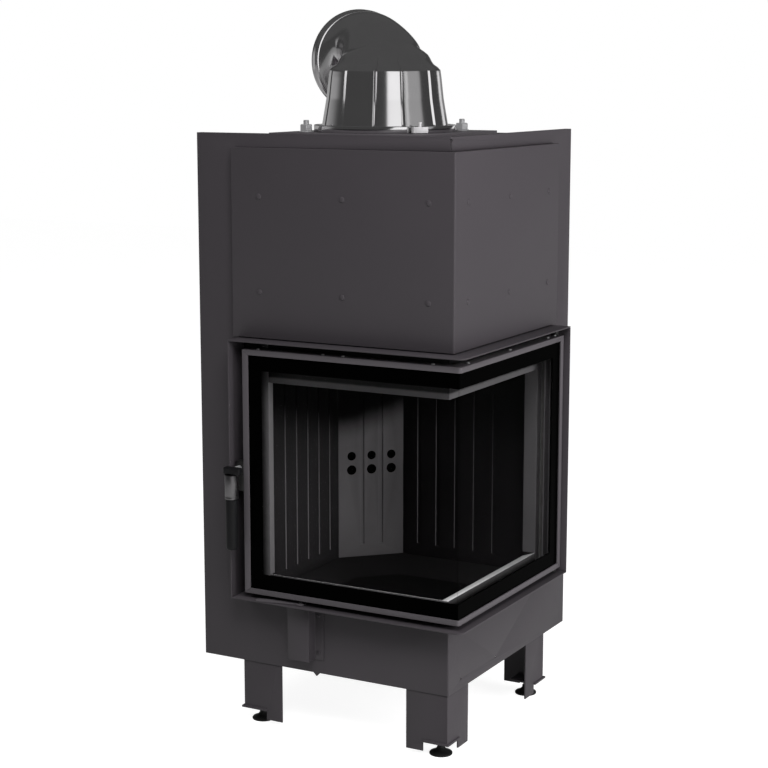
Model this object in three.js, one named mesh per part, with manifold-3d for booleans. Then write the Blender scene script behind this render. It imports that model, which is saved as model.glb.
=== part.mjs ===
// Corner fireplace insert: a steel wood burner glazed on its front and right side, on four screw feet,
// with a fluted flue outlet and a turning elbow on top. Millimetres, +Z up.
// The body's own axes: X runs right from its left face, Y runs back from its front face, and Z runs up
// from its bottom edge. "Proud" is the distance in front of the front face, or to the right of the right
// face, so one proud value describes both limbs of a piece that wraps the glazed corner.
import * as THREE from 'three';
import { mergeVertices } from 'three/addons/utils/BufferGeometryUtils.js';
import Module from 'manifold-3d';

// ---- Driving dimensions ----
const BODY_W = 526;
const BODY_D = 522;
const BODY_H = 1000;
const GROUND = -122;
const SHEET = 2;
const GAP = 0.3;
const LIP = 12;

// Window in the casing's bent front and side sheet
const WINDOW_X = 86;
const WINDOW_Y = BODY_D - 92;
const WINDOW_LOW = 135;
const WINDOW_HIGH = BODY_H - 25;

// Door surround
const SURROUND_X = 93.5;
const SURROUND_Y = BODY_D - 104;
const SURROUND_PROUD = 50;
const SURROUND_LOW = 135.5;
const SURROUND_HIGH = 626;
const SURROUND_SHEET = 2.5;
const SURROUND_RADIUS = 12;

// Door
const DOOR_X = 119;
const DOOR_Y = BODY_D - 114;
const DOOR_LOW = 148;
const DOOR_HIGH = 609;
const DOOR_PROUD = 40;
const DOOR_BACK = 10;
const HINGE = { x: BODY_W + 27, y: DOOR_Y - 11 };
const PIN_R = 4;

// Fire chamber
const CHAMBER_X0 = 72;
const CHAMBER_Y1 = BODY_D - 51.7;
const CHAMBER_LOW = 84.3;
const CHAMBER_HIGH = BODY_H - 60.3;
const PLATE = 4;
const OPENING_X = 149;
const OPENING_Y = BODY_D - 139;
const SILL_Z = 176;
const HEAD_Z = 543;
const HEARTH_Z = 120;
const BASIN_Z = 90;
const LINING_TOP = 600;
const LINING_X = 100;
const LINING_Y = BODY_D - 81;
const CORNER_RUN = 97.5;
const CORNER_FROM = { x: LINING_X, y: LINING_Y - CORNER_RUN };
const CORNER_TO = { x: LINING_X + CORNER_RUN, y: LINING_Y };
const UPPER_BAFFLE_Z = 740;

// Handle
const HANDLE = { x: 108.6, y: -65, z: 385 };

// Air control
const LEVER = { x: 235, y: -31 };
const AIR_HOLE = { x: 222, y: -12, r: 9 };
const AIR_DUCT = { x: 263, y: 300, r: 62.5 };

// Flue
const FLUE = { x: 255, y: 258 };
const TOP_Z = BODY_H - 5;
const PLATE_TOP = BODY_H - 2;
const RING_TOP = PLATE_TOP + 13;
const FLUE_HOLE = 104;
const FACING = -61.3;
const HEADING = 139;
const SEAM_TILT = 24.1;
const SEAM = { offset: 24.2, z: PLATE_TOP + 134.5, r: 78, hole: 71 };
const OUTLET = { run: 132, end: 145, z: PLATE_TOP + 132.8, r: 95.5, rim: 99.2 };
const WALL = 3;

// Legs and feet
const LEG_LIMB = 85;
const LEG_SHEET = 3;
const LEG_INSET = 2.3;
const FOOT_INSET = 26;

const wasm = await Module();
wasm.setup();

const rad = THREE.MathUtils.degToRad;

// ---- Finishes ----
const finishes = {
  casing: { color: 0x403d40, roughness: 0.5, metalness: 0.35 },
  black: { color: 0x1b1a1c, roughness: 0.55, metalness: 0.3 },
  chamber: { color: 0x2b2a2b, roughness: 0.7, metalness: 0.25 },
  lining: { color: 0x37332f, roughness: 0.95, metalness: 0 },
  glass: { color: 0x0c0d0f, roughness: 0.05, metalness: 0.1 },
  rope: { color: 0x4c4a49, roughness: 1, metalness: 0 },
  chrome: { color: 0xd9dadd, roughness: 0.12, metalness: 1 },
  zinc: { color: 0xb4b6ba, roughness: 0.3, metalness: 0.95 },
  grip: { color: 0x161517, roughness: 0.45, metalness: 0 },
};

const body = new THREE.Group();
body.position.set(-(BODY_W + SURROUND_PROUD) / 2, -222, -GROUND);

function addPart(name, geometry, finish) {
  const flat = geometry.index ? geometry.toNonIndexed() : geometry;
  flat.computeVertexNormals();
  const mesh = new THREE.Mesh(flat, new THREE.MeshStandardMaterial(finishes[finish]));
  mesh.name = name;
  body.add(mesh);
}

// ---- Joining and cutting ----
function toSolid(geometry) {
  const bare = new THREE.BufferGeometry();
  bare.setAttribute('position', geometry.getAttribute('position').clone());
  if (geometry.index) bare.setIndex(geometry.index.clone());
  const merged = mergeVertices(bare, 1e-4);
  const corners = merged.index.array;
  const kept = [];
  for (let i = 0; i < corners.length; i += 3) {
    const [a, b, c] = [corners[i], corners[i + 1], corners[i + 2]];
    if (a !== b && b !== c && a !== c) kept.push(a, b, c);
  }
  return new wasm.Manifold(new wasm.Mesh({
    numProp: 3,
    vertProperties: new Float32Array(merged.getAttribute('position').array),
    triVerts: new Uint32Array(kept),
  }));
}

function toGeometry(solid) {
  const mesh = solid.getMesh();
  const geometry = new THREE.BufferGeometry();
  geometry.setAttribute('position', new THREE.BufferAttribute(Float32Array.from(mesh.vertProperties), 3));
  geometry.setIndex(new THREE.BufferAttribute(Uint32Array.from(mesh.triVerts), 1));
  return geometry;
}

function join(...pieces) {
  let solid = toSolid(pieces[0]);
  for (const piece of pieces.slice(1)) solid = solid.add(toSolid(piece));
  return toGeometry(solid);
}

function cut(piece, ...tools) {
  let solid = toSolid(piece);
  for (const tool of tools) solid = solid.subtract(toSolid(tool));
  return toGeometry(solid);
}

function common(piece, other) {
  return toGeometry(toSolid(piece).intersect(toSolid(other)));
}

// ---- Basic forms ----
function box(x0, x1, y0, y1, z0, z1) {
  const geometry = new THREE.BoxGeometry(x1 - x0, y1 - y0, z1 - z0);
  return geometry.translate((x0 + x1) / 2, (y0 + y1) / 2, (z0 + z1) / 2);
}

function shapeOf(points) {
  return new THREE.Shape(points.map(([u, v]) => new THREE.Vector2(u, v)));
}

function extruded(points, depth) {
  return new THREE.ExtrudeGeometry(shapeOf(points), { depth, bevelEnabled: false });
}

// Outline in plan, raised from z0 to z1
function slab(points, z0, z1) {
  return extruded(points, z1 - z0).translate(0, 0, z0);
}

// Outline in X and Z, carried from y0 to y1
function slabAlongY(points, y0, y1) {
  return extruded(points, y1 - y0).rotateX(Math.PI / 2).translate(0, y1, 0);
}

// Outline in Y and Z, carried from x0 to x1
function slabAlongX(points, x0, x1) {
  const turn = new THREE.Matrix4().makeBasis(
    new THREE.Vector3(0, 1, 0), new THREE.Vector3(0, 0, 1), new THREE.Vector3(1, 0, 0));
  return extruded(points, x1 - x0).applyMatrix4(turn).translate(x0, 0, 0);
}

function rod(radius, from, to, sides = 24) {
  const start = new THREE.Vector3(...from);
  const run = new THREE.Vector3(...to).sub(start);
  const turn = new THREE.Quaternion().setFromUnitVectors(new THREE.Vector3(0, 1, 0), run.clone().normalize());
  const geometry = new THREE.CylinderGeometry(radius, radius, run.length(), sides);
  const middle = start.addScaledVector(run, 0.5);
  return geometry.applyQuaternion(turn).translate(middle.x, middle.y, middle.z);
}

function upright(radius, x, y, z0, z1, sides = 24) {
  return rod(radius, [x, y, z0], [x, y, z1], sides);
}

// Profile of [radius, z] pairs turned about an upright axis at x, y
function turned(profile, x, y, sides = 48) {
  const points = profile.map(([r, z]) => new THREE.Vector2(r, z));
  return new THREE.LatheGeometry(points, sides).rotateX(Math.PI / 2).translate(x, y, 0);
}

// Closed solid through stations that hold the same number of points, in order along the run
function loft(stations) {
  const count = stations[0].length;
  const normal = stationNormal(stations[0]);
  const run = stationCentre(stations[1]).sub(stationCentre(stations[0]));
  const rings = normal.dot(run) > 0 ? stations : stations.map((ring) => [...ring].reverse());
  const index = [];
  for (let s = 0; s + 1 < rings.length; s += 1) {
    for (let i = 0; i < count; i += 1) {
      const a = s * count + i;
      const b = s * count + ((i + 1) % count);
      index.push(a, b, b + count, a, b + count, a + count);
    }
  }
  const last = (rings.length - 1) * count;
  for (const [a, b, c] of capTriangles(rings[0])) index.push(c, b, a);
  for (const [a, b, c] of capTriangles(rings[rings.length - 1])) index.push(last + a, last + b, last + c);
  const geometry = new THREE.BufferGeometry().setFromPoints(rings.flat());
  return geometry.setIndex(index);
}

function stationCentre(ring) {
  const centre = new THREE.Vector3();
  for (const point of ring) centre.add(point);
  return centre.divideScalar(ring.length);
}

function stationNormal(ring) {
  const normal = new THREE.Vector3();
  ring.forEach((point, i) => normal.add(point.clone().cross(ring[(i + 1) % ring.length])));
  return normal.normalize();
}

function capTriangles(ring) {
  const normal = stationNormal(ring);
  const across = ring[1].clone().sub(ring[0]).normalize();
  const up = normal.clone().cross(across);
  const flat = ring.map((point) => new THREE.Vector2(point.dot(across), point.dot(up)));
  return THREE.ShapeUtils.triangulateShape(flat, []);
}

// One section of [proud, z] pairs carried along the front, mitred at the glazed corner, then along the side
function aroundCorner(section, xStart, yEnd) {
  const front = section.map(([t, z]) => new THREE.Vector3(xStart, -t, z));
  const mitre = section.map(([t, z]) => new THREE.Vector3(BODY_W + t, -t, z));
  const side = section.map(([t, z]) => new THREE.Vector3(BODY_W + t, yEnd, z));
  return loft([front, mitre, side]);
}

// L-shaped outline in plan between two proud distances, with its outer corner rounded
function cornerOutline(xStart, yEnd, outer, inner, radius) {
  const points = [[xStart, -outer]];
  const steps = 5;
  for (let i = 0; i <= steps; i += 1) {
    const a = (i / steps) * Math.PI / 2;
    points.push([
      BODY_W + outer - radius + radius * Math.sin(a),
      -outer + radius - radius * Math.cos(a),
    ]);
  }
  points.push([BODY_W + outer, yEnd], [BODY_W + inner, yEnd], [BODY_W + inner, -inner], [xStart, -inner]);
  return points;
}

function cornerSlab(xStart, yEnd, outer, inner, z0, z1, radius) {
  return slab(cornerOutline(xStart, yEnd, outer, inner, radius), z0, z1);
}

// ---- Casing ----
function buildCasing() {
  const wall = cornerSlab(0, BODY_D, 0, -SHEET, 0, BODY_H, 3);
  const topLip = cornerSlab(SHEET + GAP, BODY_D - SHEET - GAP, 0, -LIP, BODY_H - SHEET, BODY_H, 3);
  const tab = slabAlongY([[242, 1], [250, -7], [258, 1]], 0, SHEET);
  const frontWindow = box(WINDOW_X, BODY_W + 5, -5, 5, WINDOW_LOW, WINDOW_HIGH);
  const sideWindow = box(BODY_W - 5, BODY_W + 5, -5, WINDOW_Y, WINDOW_LOW, WINDOW_HIGH);
  const reliefSlot = box(BODY_W - 1.2, BODY_W + 1, -1, 1.2, WINDOW_HIGH - 1, BODY_H - 7);
  const reliefHole = rod(2.6, [BODY_W - 6, 6, BODY_H - 6], [BODY_W + 6, -6, BODY_H - 6], 12);
  const sideHoles = [52, 199].map((y) => rod(2, [BODY_W - 5, y, 18], [BODY_W + 5, y, 18], 10));
  const wrap = cut(join(wall, topLip, tab), frontWindow, sideWindow, reliefSlot, reliefHole, ...sideHoles);
  addPart('casing_wrap', wrap, 'casing');

  const inner = BODY_D - SHEET - GAP;
  const leftWall = box(0, SHEET, SHEET + GAP, inner, 0, BODY_H);
  const leftLip = box(SHEET / 2, LIP, LIP + GAP, inner, BODY_H - SHEET, BODY_H);
  addPart('casing_left', join(leftWall, leftLip), 'casing');

  const backEnd = BODY_W - SHEET - GAP;
  const backWall = box(0, backEnd, BODY_D - SHEET, BODY_D, 0, BODY_H);
  const backLip = box(
    LIP + GAP, BODY_W - LIP - GAP, BODY_D - LIP, BODY_D - SHEET / 2, BODY_H - SHEET, BODY_H);
  addPart('casing_back', join(backWall, backLip), 'casing');

  const near = SHEET + GAP;
  const topPlate = box(near, backEnd, near, inner, TOP_Z - SHEET, TOP_Z);
  const skirt = cut(
    box(near, backEnd, near, inner, TOP_Z - 14, TOP_Z - SHEET / 2),
    box(near + SHEET, backEnd - SHEET, near + SHEET, inner - SHEET, TOP_Z - 20, TOP_Z));
  const flueHole = upright(FLUE_HOLE, FLUE.x, FLUE.y, TOP_Z - 30, TOP_Z + 10, 48);
  addPart('casing_top', cut(join(topPlate, skirt), flueHole), 'casing');

  const base = box(near, backEnd, near, inner, 40.3, 43.3);
  addPart('casing_base', cut(base, upright(AIR_DUCT.r - 7.5, AIR_DUCT.x, AIR_DUCT.y, 30, 50, 36)), 'casing');
}

// ---- Convection jacket: a shallow tray that wraps the corner above the door ----
function buildJacket() {
  const low = 628;
  const high = WINDOW_HIGH;
  const proud = 15;
  const start = 84;
  const shell = cornerSlab(start, WINDOW_Y, proud, GAP, low, high, 3);
  const hollow = cornerSlab(start + SHEET, WINDOW_Y - SHEET, proud - SHEET, -5, low + SHEET, high - SHEET, 1);
  addPart('convection_jacket', cut(shell, hollow), 'casing');
}

// ---- Fittings of the flue on the top ----
function buildFlueFittings() {
  const half = 160;
  const plate = box(FLUE.x - half, FLUE.x + half, FLUE.y - half, FLUE.y + half, TOP_Z + GAP, PLATE_TOP);
  const flueHole = upright(FLUE_HOLE, FLUE.x, FLUE.y, TOP_Z - 5, PLATE_TOP + 5, 48);
  addPart('flue_plate', cut(plate, flueHole), 'black');

  const low = PLATE_TOP + GAP;
  const ring = turned([
    [129, low], [135, low], [135, RING_TOP], [122, RING_TOP], [122, low + 5.6], [129, low + 5.6], [129, low],
  ], FLUE.x, FLUE.y, 72);
  const split = box(110, 150, -3, 3, low - 5, RING_TOP + 5).rotateZ(rad(FACING + 20));
  addPart('clamp_ring', cut(ring, split.translate(FLUE.x, FLUE.y, 0)), 'chrome');

  const block = box(135.4, 146, -15, 15, PLATE_TOP + 1, RING_TOP - 1);
  const screw = upright(3, 141, 0, RING_TOP - 3, RING_TOP + 8, 12);
  const clamp = join(block, screw).rotateZ(rad(FACING + 27)).translate(FLUE.x, FLUE.y, 0);
  addPart('clamp_block', clamp, 'zinc');

  const spots = { stud_left: [-109, -109], stud_right: [109, 109], stud_rear: [-109, 109] };
  for (const [name, [dx, dy]] of Object.entries(spots)) {
    const [x, y] = [FLUE.x + dx, FLUE.y + dy];
    const stud = join(
      upright(14, x, y, low, low + 2, 20),
      upright(12.5, x, y, low + 1, RING_TOP + 2, 6),
      upright(5.5, x, y, RING_TOP - 1, RING_TOP + 10, 12));
    addPart(name, stud, 'zinc');
  }

  const foot = CHAMBER_HIGH + PLATE + 2 * GAP;
  const end = RING_TOP + 1;
  const tube = turned([[96, foot], [100, foot], [100, end], [96, end], [96, foot]], FLUE.x, FLUE.y, 48);
  addPart('flue_spigot', tube, 'chamber');
}

// ---- Fire chamber ----
function buildChamber() {
  const back = CHAMBER_Y1 - PLATE;
  const right = BODY_W - 6.3;
  const leftLedge = box(CHAMBER_X0 + 1, 90, 20, BODY_D - 142, UPPER_BAFFLE_Z - 5, UPPER_BAFFLE_Z - GAP);
  const leftWall = box(CHAMBER_X0, CHAMBER_X0 + PLATE, 6.6, back - GAP, CHAMBER_LOW, CHAMBER_HIGH);
  addPart('chamber_left', join(leftWall, leftLedge), 'chamber');
  addPart('chamber_back', box(CHAMBER_X0, right, back, CHAMBER_Y1, CHAMBER_LOW, CHAMBER_HIGH), 'chamber');
  addPart('chamber_floor', box(CHAMBER_X0, right, 6.6, CHAMBER_Y1, CHAMBER_LOW - GAP - 4, CHAMBER_LOW - GAP),
    'chamber');
  const roof = box(CHAMBER_X0, BODY_W - 2.3, 2.3, CHAMBER_Y1, CHAMBER_HIGH + GAP, CHAMBER_HIGH + GAP + PLATE);
  const outlet = upright(95, FLUE.x, FLUE.y, CHAMBER_HIGH - 10, CHAMBER_HIGH + 10, 48);
  addPart('chamber_roof', cut(roof, outlet), 'chamber');

  const near = -2.3;
  const far = near - PLATE;
  const start = OPENING_X + GAP;
  const end = OPENING_Y - GAP;
  const sill = aroundCorner([
    [near, CHAMBER_LOW], [near, SILL_Z + 1.2], [-30, SILL_Z - 8.8], [-30, SILL_Z - 11.8],
    [far, SILL_Z - 3.4], [far, CHAMBER_LOW],
  ], start, end);
  addPart('sill', sill, 'casing');

  const head = aroundCorner([
    [near, CHAMBER_HIGH], [near, HEAD_Z], [-28, HEAD_Z], [-28, HEAD_Z + PLATE],
    [far, HEAD_Z + PLATE], [far, CHAMBER_HIGH],
  ], start, end);
  const headLedge = box(BODY_W - 21, right + 1, 20, BODY_D - 142, UPPER_BAFFLE_Z - 5, UPPER_BAFFLE_Z - GAP);
  addPart('head', join(head, headLedge), 'casing');

  const leftPlate = box(CHAMBER_X0, OPENING_X, 2.3, 6.3, CHAMBER_LOW, CHAMBER_HIGH);
  const leftCheek = box(OPENING_X - PLATE, OPENING_X, 5, 18, SILL_Z, HEAD_Z);
  addPart('jamb_left', join(leftPlate, leftCheek), 'casing');

  const rightPlate = box(right, BODY_W - 2.3, OPENING_Y, back - GAP, CHAMBER_LOW, CHAMBER_HIGH);
  const rightCheek = box(BODY_W - 30, right + 1, OPENING_Y, OPENING_Y + PLATE, SILL_Z, HEAD_Z);
  addPart('jamb_right', join(rightPlate, rightCheek), 'casing');
}

// ---- Linings, hearth and baffles ----
function groove(x, y, angle) {
  return box(-2.5, 2.5, -4, 4, 146, LINING_TOP - 25).rotateZ(angle).translate(x, y, 0);
}

function alongCornerSlab(s) {
  const step = s * Math.SQRT1_2;
  return [CORNER_FROM.x + step, CORNER_FROM.y + step];
}

function buildLinings() {
  const x0 = CHAMBER_X0 + PLATE + GAP;
  const back = CHAMBER_Y1 - PLATE - GAP;
  const low = HEARTH_Z + GAP;
  const pitch = 42.5;

  const left = box(x0, LINING_X, 20, CORNER_FROM.y - GAP, low, LINING_TOP);
  const leftGrooves = [0, 1, 2, 3, 4].map((i) => groove(LINING_X, 135.7 + i * pitch, 0));
  addPart('lining_left', cut(left, ...leftGrooves), 'lining');

  const rear = box(CORNER_TO.x + GAP, BODY_W - 31 - GAP, LINING_Y, back, low, LINING_TOP);
  const rearGrooves = [0, 1, 2, 3, 4].map((i) => groove(235 + i * pitch, LINING_Y, Math.PI / 2));
  addPart('lining_back', cut(rear, ...rearGrooves), 'lining');

  const corner = slab([
    [x0, CORNER_FROM.y], [CORNER_FROM.x, CORNER_FROM.y], [CORNER_TO.x, CORNER_TO.y], [CORNER_TO.x, back],
    [x0, back],
  ], low, LINING_TOP);
  const tools = [50, 90].map((s) => groove(...alongCornerSlab(s), -Math.PI / 4));
  for (const s of [27.7, 70.1, 112.3]) {
    const [x, y] = alongCornerSlab(s);
    tools.push(rod(8.8, [x + 10, y - 10, 333], [x - 11, y + 11, 333], 16));
    tools.push(rod(9.8, [x + 10, y - 10, 304], [x - 11, y + 11, 304], 16));
  }
  addPart('lining_corner', cut(corner, ...tools), 'lining');
  const right = BODY_W - 6.6;
  const side = box(BODY_W - 31, right, OPENING_Y + PLATE + GAP, back, low, LINING_TOP);
  addPart('lining_right', side, 'lining');

  const tray = box(x0, right, 6.6, back, CHAMBER_LOW, HEARTH_Z);
  const rim = [
    [LINING_X + 0.5, 35], [BODY_W - 35, 35], [BODY_W - 35, LINING_Y - 0.5],
    [CORNER_TO.x + 0.2, LINING_Y - 0.5], [LINING_X + 0.5, CORNER_FROM.y - 0.2],
  ];
  const floor = [
    [LINING_X + 50, 85], [BODY_W - 85, 85], [BODY_W - 85, LINING_Y - 50],
    [CORNER_TO.x + 20, LINING_Y - 50], [LINING_X + 50, CORNER_FROM.y - 20],
  ];
  const basin = loft([
    floor.map(([x, y]) => new THREE.Vector3(x, y, BASIN_Z)),
    rim.map(([x, y]) => new THREE.Vector3(x, y, HEARTH_Z)),
    rim.map(([x, y]) => new THREE.Vector3(x, y, HEARTH_Z + 10)),
  ]);
  addPart('hearth_tray', cut(tray, basin), 'lining');

  addPart('baffle_lower', box(x0, right, 100, back, LINING_TOP + GAP, LINING_TOP + 25), 'lining');
  const upper = box(x0, right, 6.6, BODY_D - 142, UPPER_BAFFLE_Z, UPPER_BAFFLE_Z + 20);
  addPart('baffle_upper', upper, 'lining');
}

// ---- Door surround ----
function buildSurround() {
  const inner = -2;
  const low = SURROUND_LOW + SURROUND_SHEET;
  const high = SURROUND_HIGH - SURROUND_SHEET;
  const flange = (z0, z1) => cornerSlab(
    SURROUND_X, SURROUND_Y, SURROUND_PROUD, inner, z0, z1, SURROUND_RADIUS);
  addPart('surround_top', flange(high, SURROUND_HIGH), 'casing');
  const bottom = cut(
    flange(SURROUND_LOW, low),
    upright(AIR_HOLE.r, AIR_HOLE.x, AIR_HOLE.y, 130, 145, 20),
    upright(PIN_R + GAP, LEVER.x, LEVER.y, 130, 145, 16));
  addPart('surround_bottom', bottom, 'casing');
  addPart('surround_left',
    box(SURROUND_X, SURROUND_X + SURROUND_SHEET, -SURROUND_PROUD, -inner, low + GAP, high - GAP), 'casing');
  const end = box(
    BODY_W + inner, BODY_W + SURROUND_PROUD, SURROUND_Y - SURROUND_SHEET, SURROUND_Y, low + GAP, high - GAP);
  addPart('surround_right', end, 'casing');

  const lowerPin = join(
    upright(9, HINGE.x, HINGE.y, low + GAP, DOOR_LOW - GAP),
    upright(PIN_R, HINGE.x, HINGE.y, DOOR_LOW - 2, 168, 16));
  addPart('hinge_lower', lowerPin, 'zinc');
  const upperPin = join(
    upright(6, HINGE.x, HINGE.y, DOOR_HIGH + GAP, high - GAP),
    upright(PIN_R, HINGE.x, HINGE.y, 590, DOOR_HIGH + 2, 16));
  addPart('hinge_upper', upperPin, 'zinc');

  const keeper = join(
    box(98, 118, -0.5, 2, 401, 418),
    box(100, 117, -11, 0, 402, 412),
    box(100, 117, -11, -8, 400.2, 412));
  addPart('latch_keeper', keeper, 'zinc');
}

// ---- Door ----
// Channel section of a frame member, from its outer edge (depth 0) inwards
const FACE_DEPTH = 12;
const BEAD_DEPTH = 15;
const INNER_DEPTH = 22;
const RAIL_RATIO = 10 / 12;

function channel(ratio) {
  return [
    [DOOR_PROUD, 0], [DOOR_PROUD, FACE_DEPTH * ratio], [37, FACE_DEPTH * ratio], [37, 2.5], [32.8, 2.5],
    [32.8, BEAD_DEPTH * ratio], [30, BEAD_DEPTH * ratio], [30, 2.5], [DOOR_BACK + 2.5, 2.5],
    [DOOR_BACK + 2.5, INNER_DEPTH * ratio], [DOOR_BACK, INNER_DEPTH * ratio], [DOOR_BACK, 0],
  ];
}

// Wedge that keeps a frame member on its own side of the mitre at one corner of the door.
// The corner is at [u, z]; signs give the direction from the corner into the door; side picks the half.
function mitreWedge(u, z, uSign, zSign, keepRail) {
  const reach = 60;
  const shift = keepRail ? -GAP / 2 : GAP / 2;
  const du = reach * uSign;
  const dz = reach * RAIL_RATIO * zSign;
  const a = [u - du, z - dz + shift * zSign];
  const b = [u + du, z + dz + shift * zSign];
  const away = keepRail ? reach * 3 * zSign : -reach * 3 * zSign;
  const points = [a, b, [b[0], b[1] + away], [a[0], a[1] + away]];
  const flips = THREE.ShapeUtils.isClockWise(points.map(([p, q]) => new THREE.Vector2(p, q)));
  return flips ? points.reverse() : points;
}

function buildDoor() {
  const corners = [[DOOR_LOW, 1], [DOOR_HIGH, -1]];
  const pins = upright(PIN_R + GAP, HINGE.x, HINGE.y, DOOR_LOW - 8, DOOR_HIGH + 11, 16);
  const rounding = cornerSlab(DOOR_X - 59, DOOR_Y + 42, DOOR_PROUD, -20, DOOR_LOW - 48, DOOR_HIGH + 91, 6);

  for (const [z, zSign] of corners) {
    const name = zSign > 0 ? 'door_rail_bottom' : 'door_rail_top';
    const section = channel(RAIL_RATIO).map(([t, depth]) => [t, z + depth * zSign]);
    const rail = cut(
      common(aroundCorner(section, DOOR_X, DOOR_Y), rounding),
      slabAlongY(mitreWedge(DOOR_X, z, 1, zSign, true), -60, 20),
      slabAlongX(mitreWedge(DOOR_Y, z, -1, zSign, true), BODY_W - 26, BODY_W + 74),
      pins);
    addPart(name, rail, 'black');
  }

  const left = slab(channel(1).map(([t, depth]) => [DOOR_X + depth, -t]), DOOR_LOW, DOOR_HIGH);
  const leftWedges = corners.map(([z, sign]) => slabAlongY(mitreWedge(DOOR_X, z, 1, sign, false), -60, 20));
  addPart('door_stile_left', cut(left, ...leftWedges), 'black');

  const right = slab(channel(1).map(([t, depth]) => [BODY_W + t, DOOR_Y - depth]), DOOR_LOW, DOOR_HIGH);
  const rightWedges = corners.map(([z, sign]) => (
    slabAlongX(mitreWedge(DOOR_Y, z, -1, sign, false), BODY_W - 26, BODY_W + 74)));
  addPart('door_stile_right', cut(right, ...rightWedges, pins), 'black');

  const glassOut = 36.7;
  const glassIn = 33.1;
  const z0 = DOOR_LOW + 2.8;
  const z1 = DOOR_HIGH - 2.8;
  const start = DOOR_X + 2.8;
  const end = DOOR_Y - 2.8;
  const seam = GAP / 2;
  addPart('glass_front', slab([
    [start, -glassOut], [BODY_W + glassOut - seam, -glassOut], [BODY_W + glassIn - seam, -glassIn],
    [start, -glassIn],
  ], z0, z1), 'glass');
  addPart('glass_side', slab([
    [BODY_W + glassOut, -glassOut + seam], [BODY_W + glassOut, end], [BODY_W + glassIn, end],
    [BODY_W + glassIn, -glassIn + seam],
  ], z0, z1), 'glass');

  const rope = 5.5;
  const proud = 4;
  const octagon = [];
  for (let i = 0; i < 8; i += 1) {
    const a = (i + 0.5) * Math.PI / 4;
    octagon.push([rope / Math.cos(Math.PI / 8) * Math.cos(a), rope / Math.cos(Math.PI / 8) * Math.sin(a)]);
  }
  const [left0, right0] = [DOOR_X + 11, DOOR_Y - 11];
  const [low0, high0] = [DOOR_LOW + 12, DOOR_HIGH - 12];
  const run = (z) => aroundCorner(octagon.map(([t, dz]) => [proud + t, z + dz]), left0 - rope, right0 + rope);
  const drop = (x, y) => slab(octagon.map(([u, v]) => [x + u, y + v]), low0, high0);
  const seal = join(run(low0), run(high0), drop(left0, -proud), drop(BODY_W + proud, right0));
  addPart('door_seal', seal, 'rope');
}

// ---- Handle and its bracket, in the space between the surround and the door ----
function buildHandle() {
  const { x, y, z } = HANDLE;
  const bracket = box(101, DOOR_X - GAP, -38, -14, 342, 398);
  const bore = rod(5.4, [x, -50, z], [x, 0, z], 20);
  const holes = [350, 366].map((at) => rod(1.6, [105.5, -50, at], [105.5, -30, at], 10));
  addPart('handle_bracket', cut(bracket, bore, ...holes), 'zinc');

  const shaft = join(
    rod(5, [x, -57.7, z], [x, -3, z], 20),
    slabAlongY([[x - 4, z - 4], [x + 4, z - 4], [x + 4, z + 14], [x - 4, z + 14]], -7, -3.5));
  addPart('handle_shaft', shaft, 'zinc');
  addPart('handle_hub', box(94, 130, y - 7, y + 7, 378, 392), 'grip');
  addPart('handle_sleeve', upright(12.5, x, y, 332, 378 - GAP, 32), 'chrome');
  addPart('handle_grip', upright(11.5, x, y, 235, 332 - GAP, 32), 'grip');
}

// ---- Air control: box under the surround, lever above it, spigot under the base ----
function buildAirControl() {
  const top = SURROUND_LOW - GAP;
  const shell = box(204, 249, -26, -GAP, 27, top);
  const hollow = box(206, 247, -24, -2.3, 29, top + 5);
  const flange = box(187, 267, -2.3, -GAP, 27, top);
  addPart('air_box', cut(join(shell, flange), hollow), 'casing');

  const z0 = SURROUND_LOW + SURROUND_SHEET + 0.5;
  const z1 = z0 + 2.5;
  const tip = { x: 148.5, y: -46 };
  const angle = Math.atan2(tip.y - LEVER.y, tip.x - LEVER.x);
  const length = Math.hypot(tip.x - LEVER.x, tip.y - LEVER.y);
  const arm = slab([[0, -7], [length - 3, -7], [length, -4], [length, 4], [length - 3, 7], [0, 7]], z0, z1)
    .rotateZ(angle).translate(LEVER.x, LEVER.y, 0);
  const tail = [[0, 0]];
  for (let a = 94; a <= 154; a += 6) tail.push([31 * Math.cos(rad(a)), 31 * Math.sin(rad(a))]);
  const lever = join(
    arm,
    slab(tail, z0, z1).translate(LEVER.x, LEVER.y, 0),
    upright(10, LEVER.x, LEVER.y, z0, z1, 24),
    upright(PIN_R, LEVER.x, LEVER.y, SURROUND_LOW - 4, z1 + 2, 16));
  addPart('air_lever', lever, 'black');

  const r = AIR_DUCT.r;
  const spigot = turned([
    [r - 3, 5], [r, 5], [r, 37], [r + 12.5, 37], [r + 12.5, 40], [r - 3, 40], [r - 3, 5],
  ], AIR_DUCT.x, AIR_DUCT.y, 40);
  addPart('air_spigot', spigot, 'casing');
}

// ---- Legs and screw feet ----
// Each leg is described from its outer corner, with signs that point along its two limbs
const LEGS = {
  front_right: { x: BODY_W - LEG_INSET, y: LEG_INSET, sx: -1, sy: 1 },
  front_left: { x: 87, y: LEG_INSET, sx: 1, sy: 1 },
  rear_right: { x: BODY_W - LEG_INSET, y: BODY_D - 92, sx: -1, sy: -1 },
  rear_left: { x: 87, y: BODY_D - 92, sx: 1, sy: -1 },
};

function spanBox(x, y, sx, sy, dx0, dx1, dy0, dy1, z0, z1) {
  const xs = [x + sx * dx0, x + sx * dx1].sort((a, b) => a - b);
  const ys = [y + sy * dy0, y + sy * dy1].sort((a, b) => a - b);
  return box(xs[0], xs[1], ys[0], ys[1], z0, z1);
}

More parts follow.
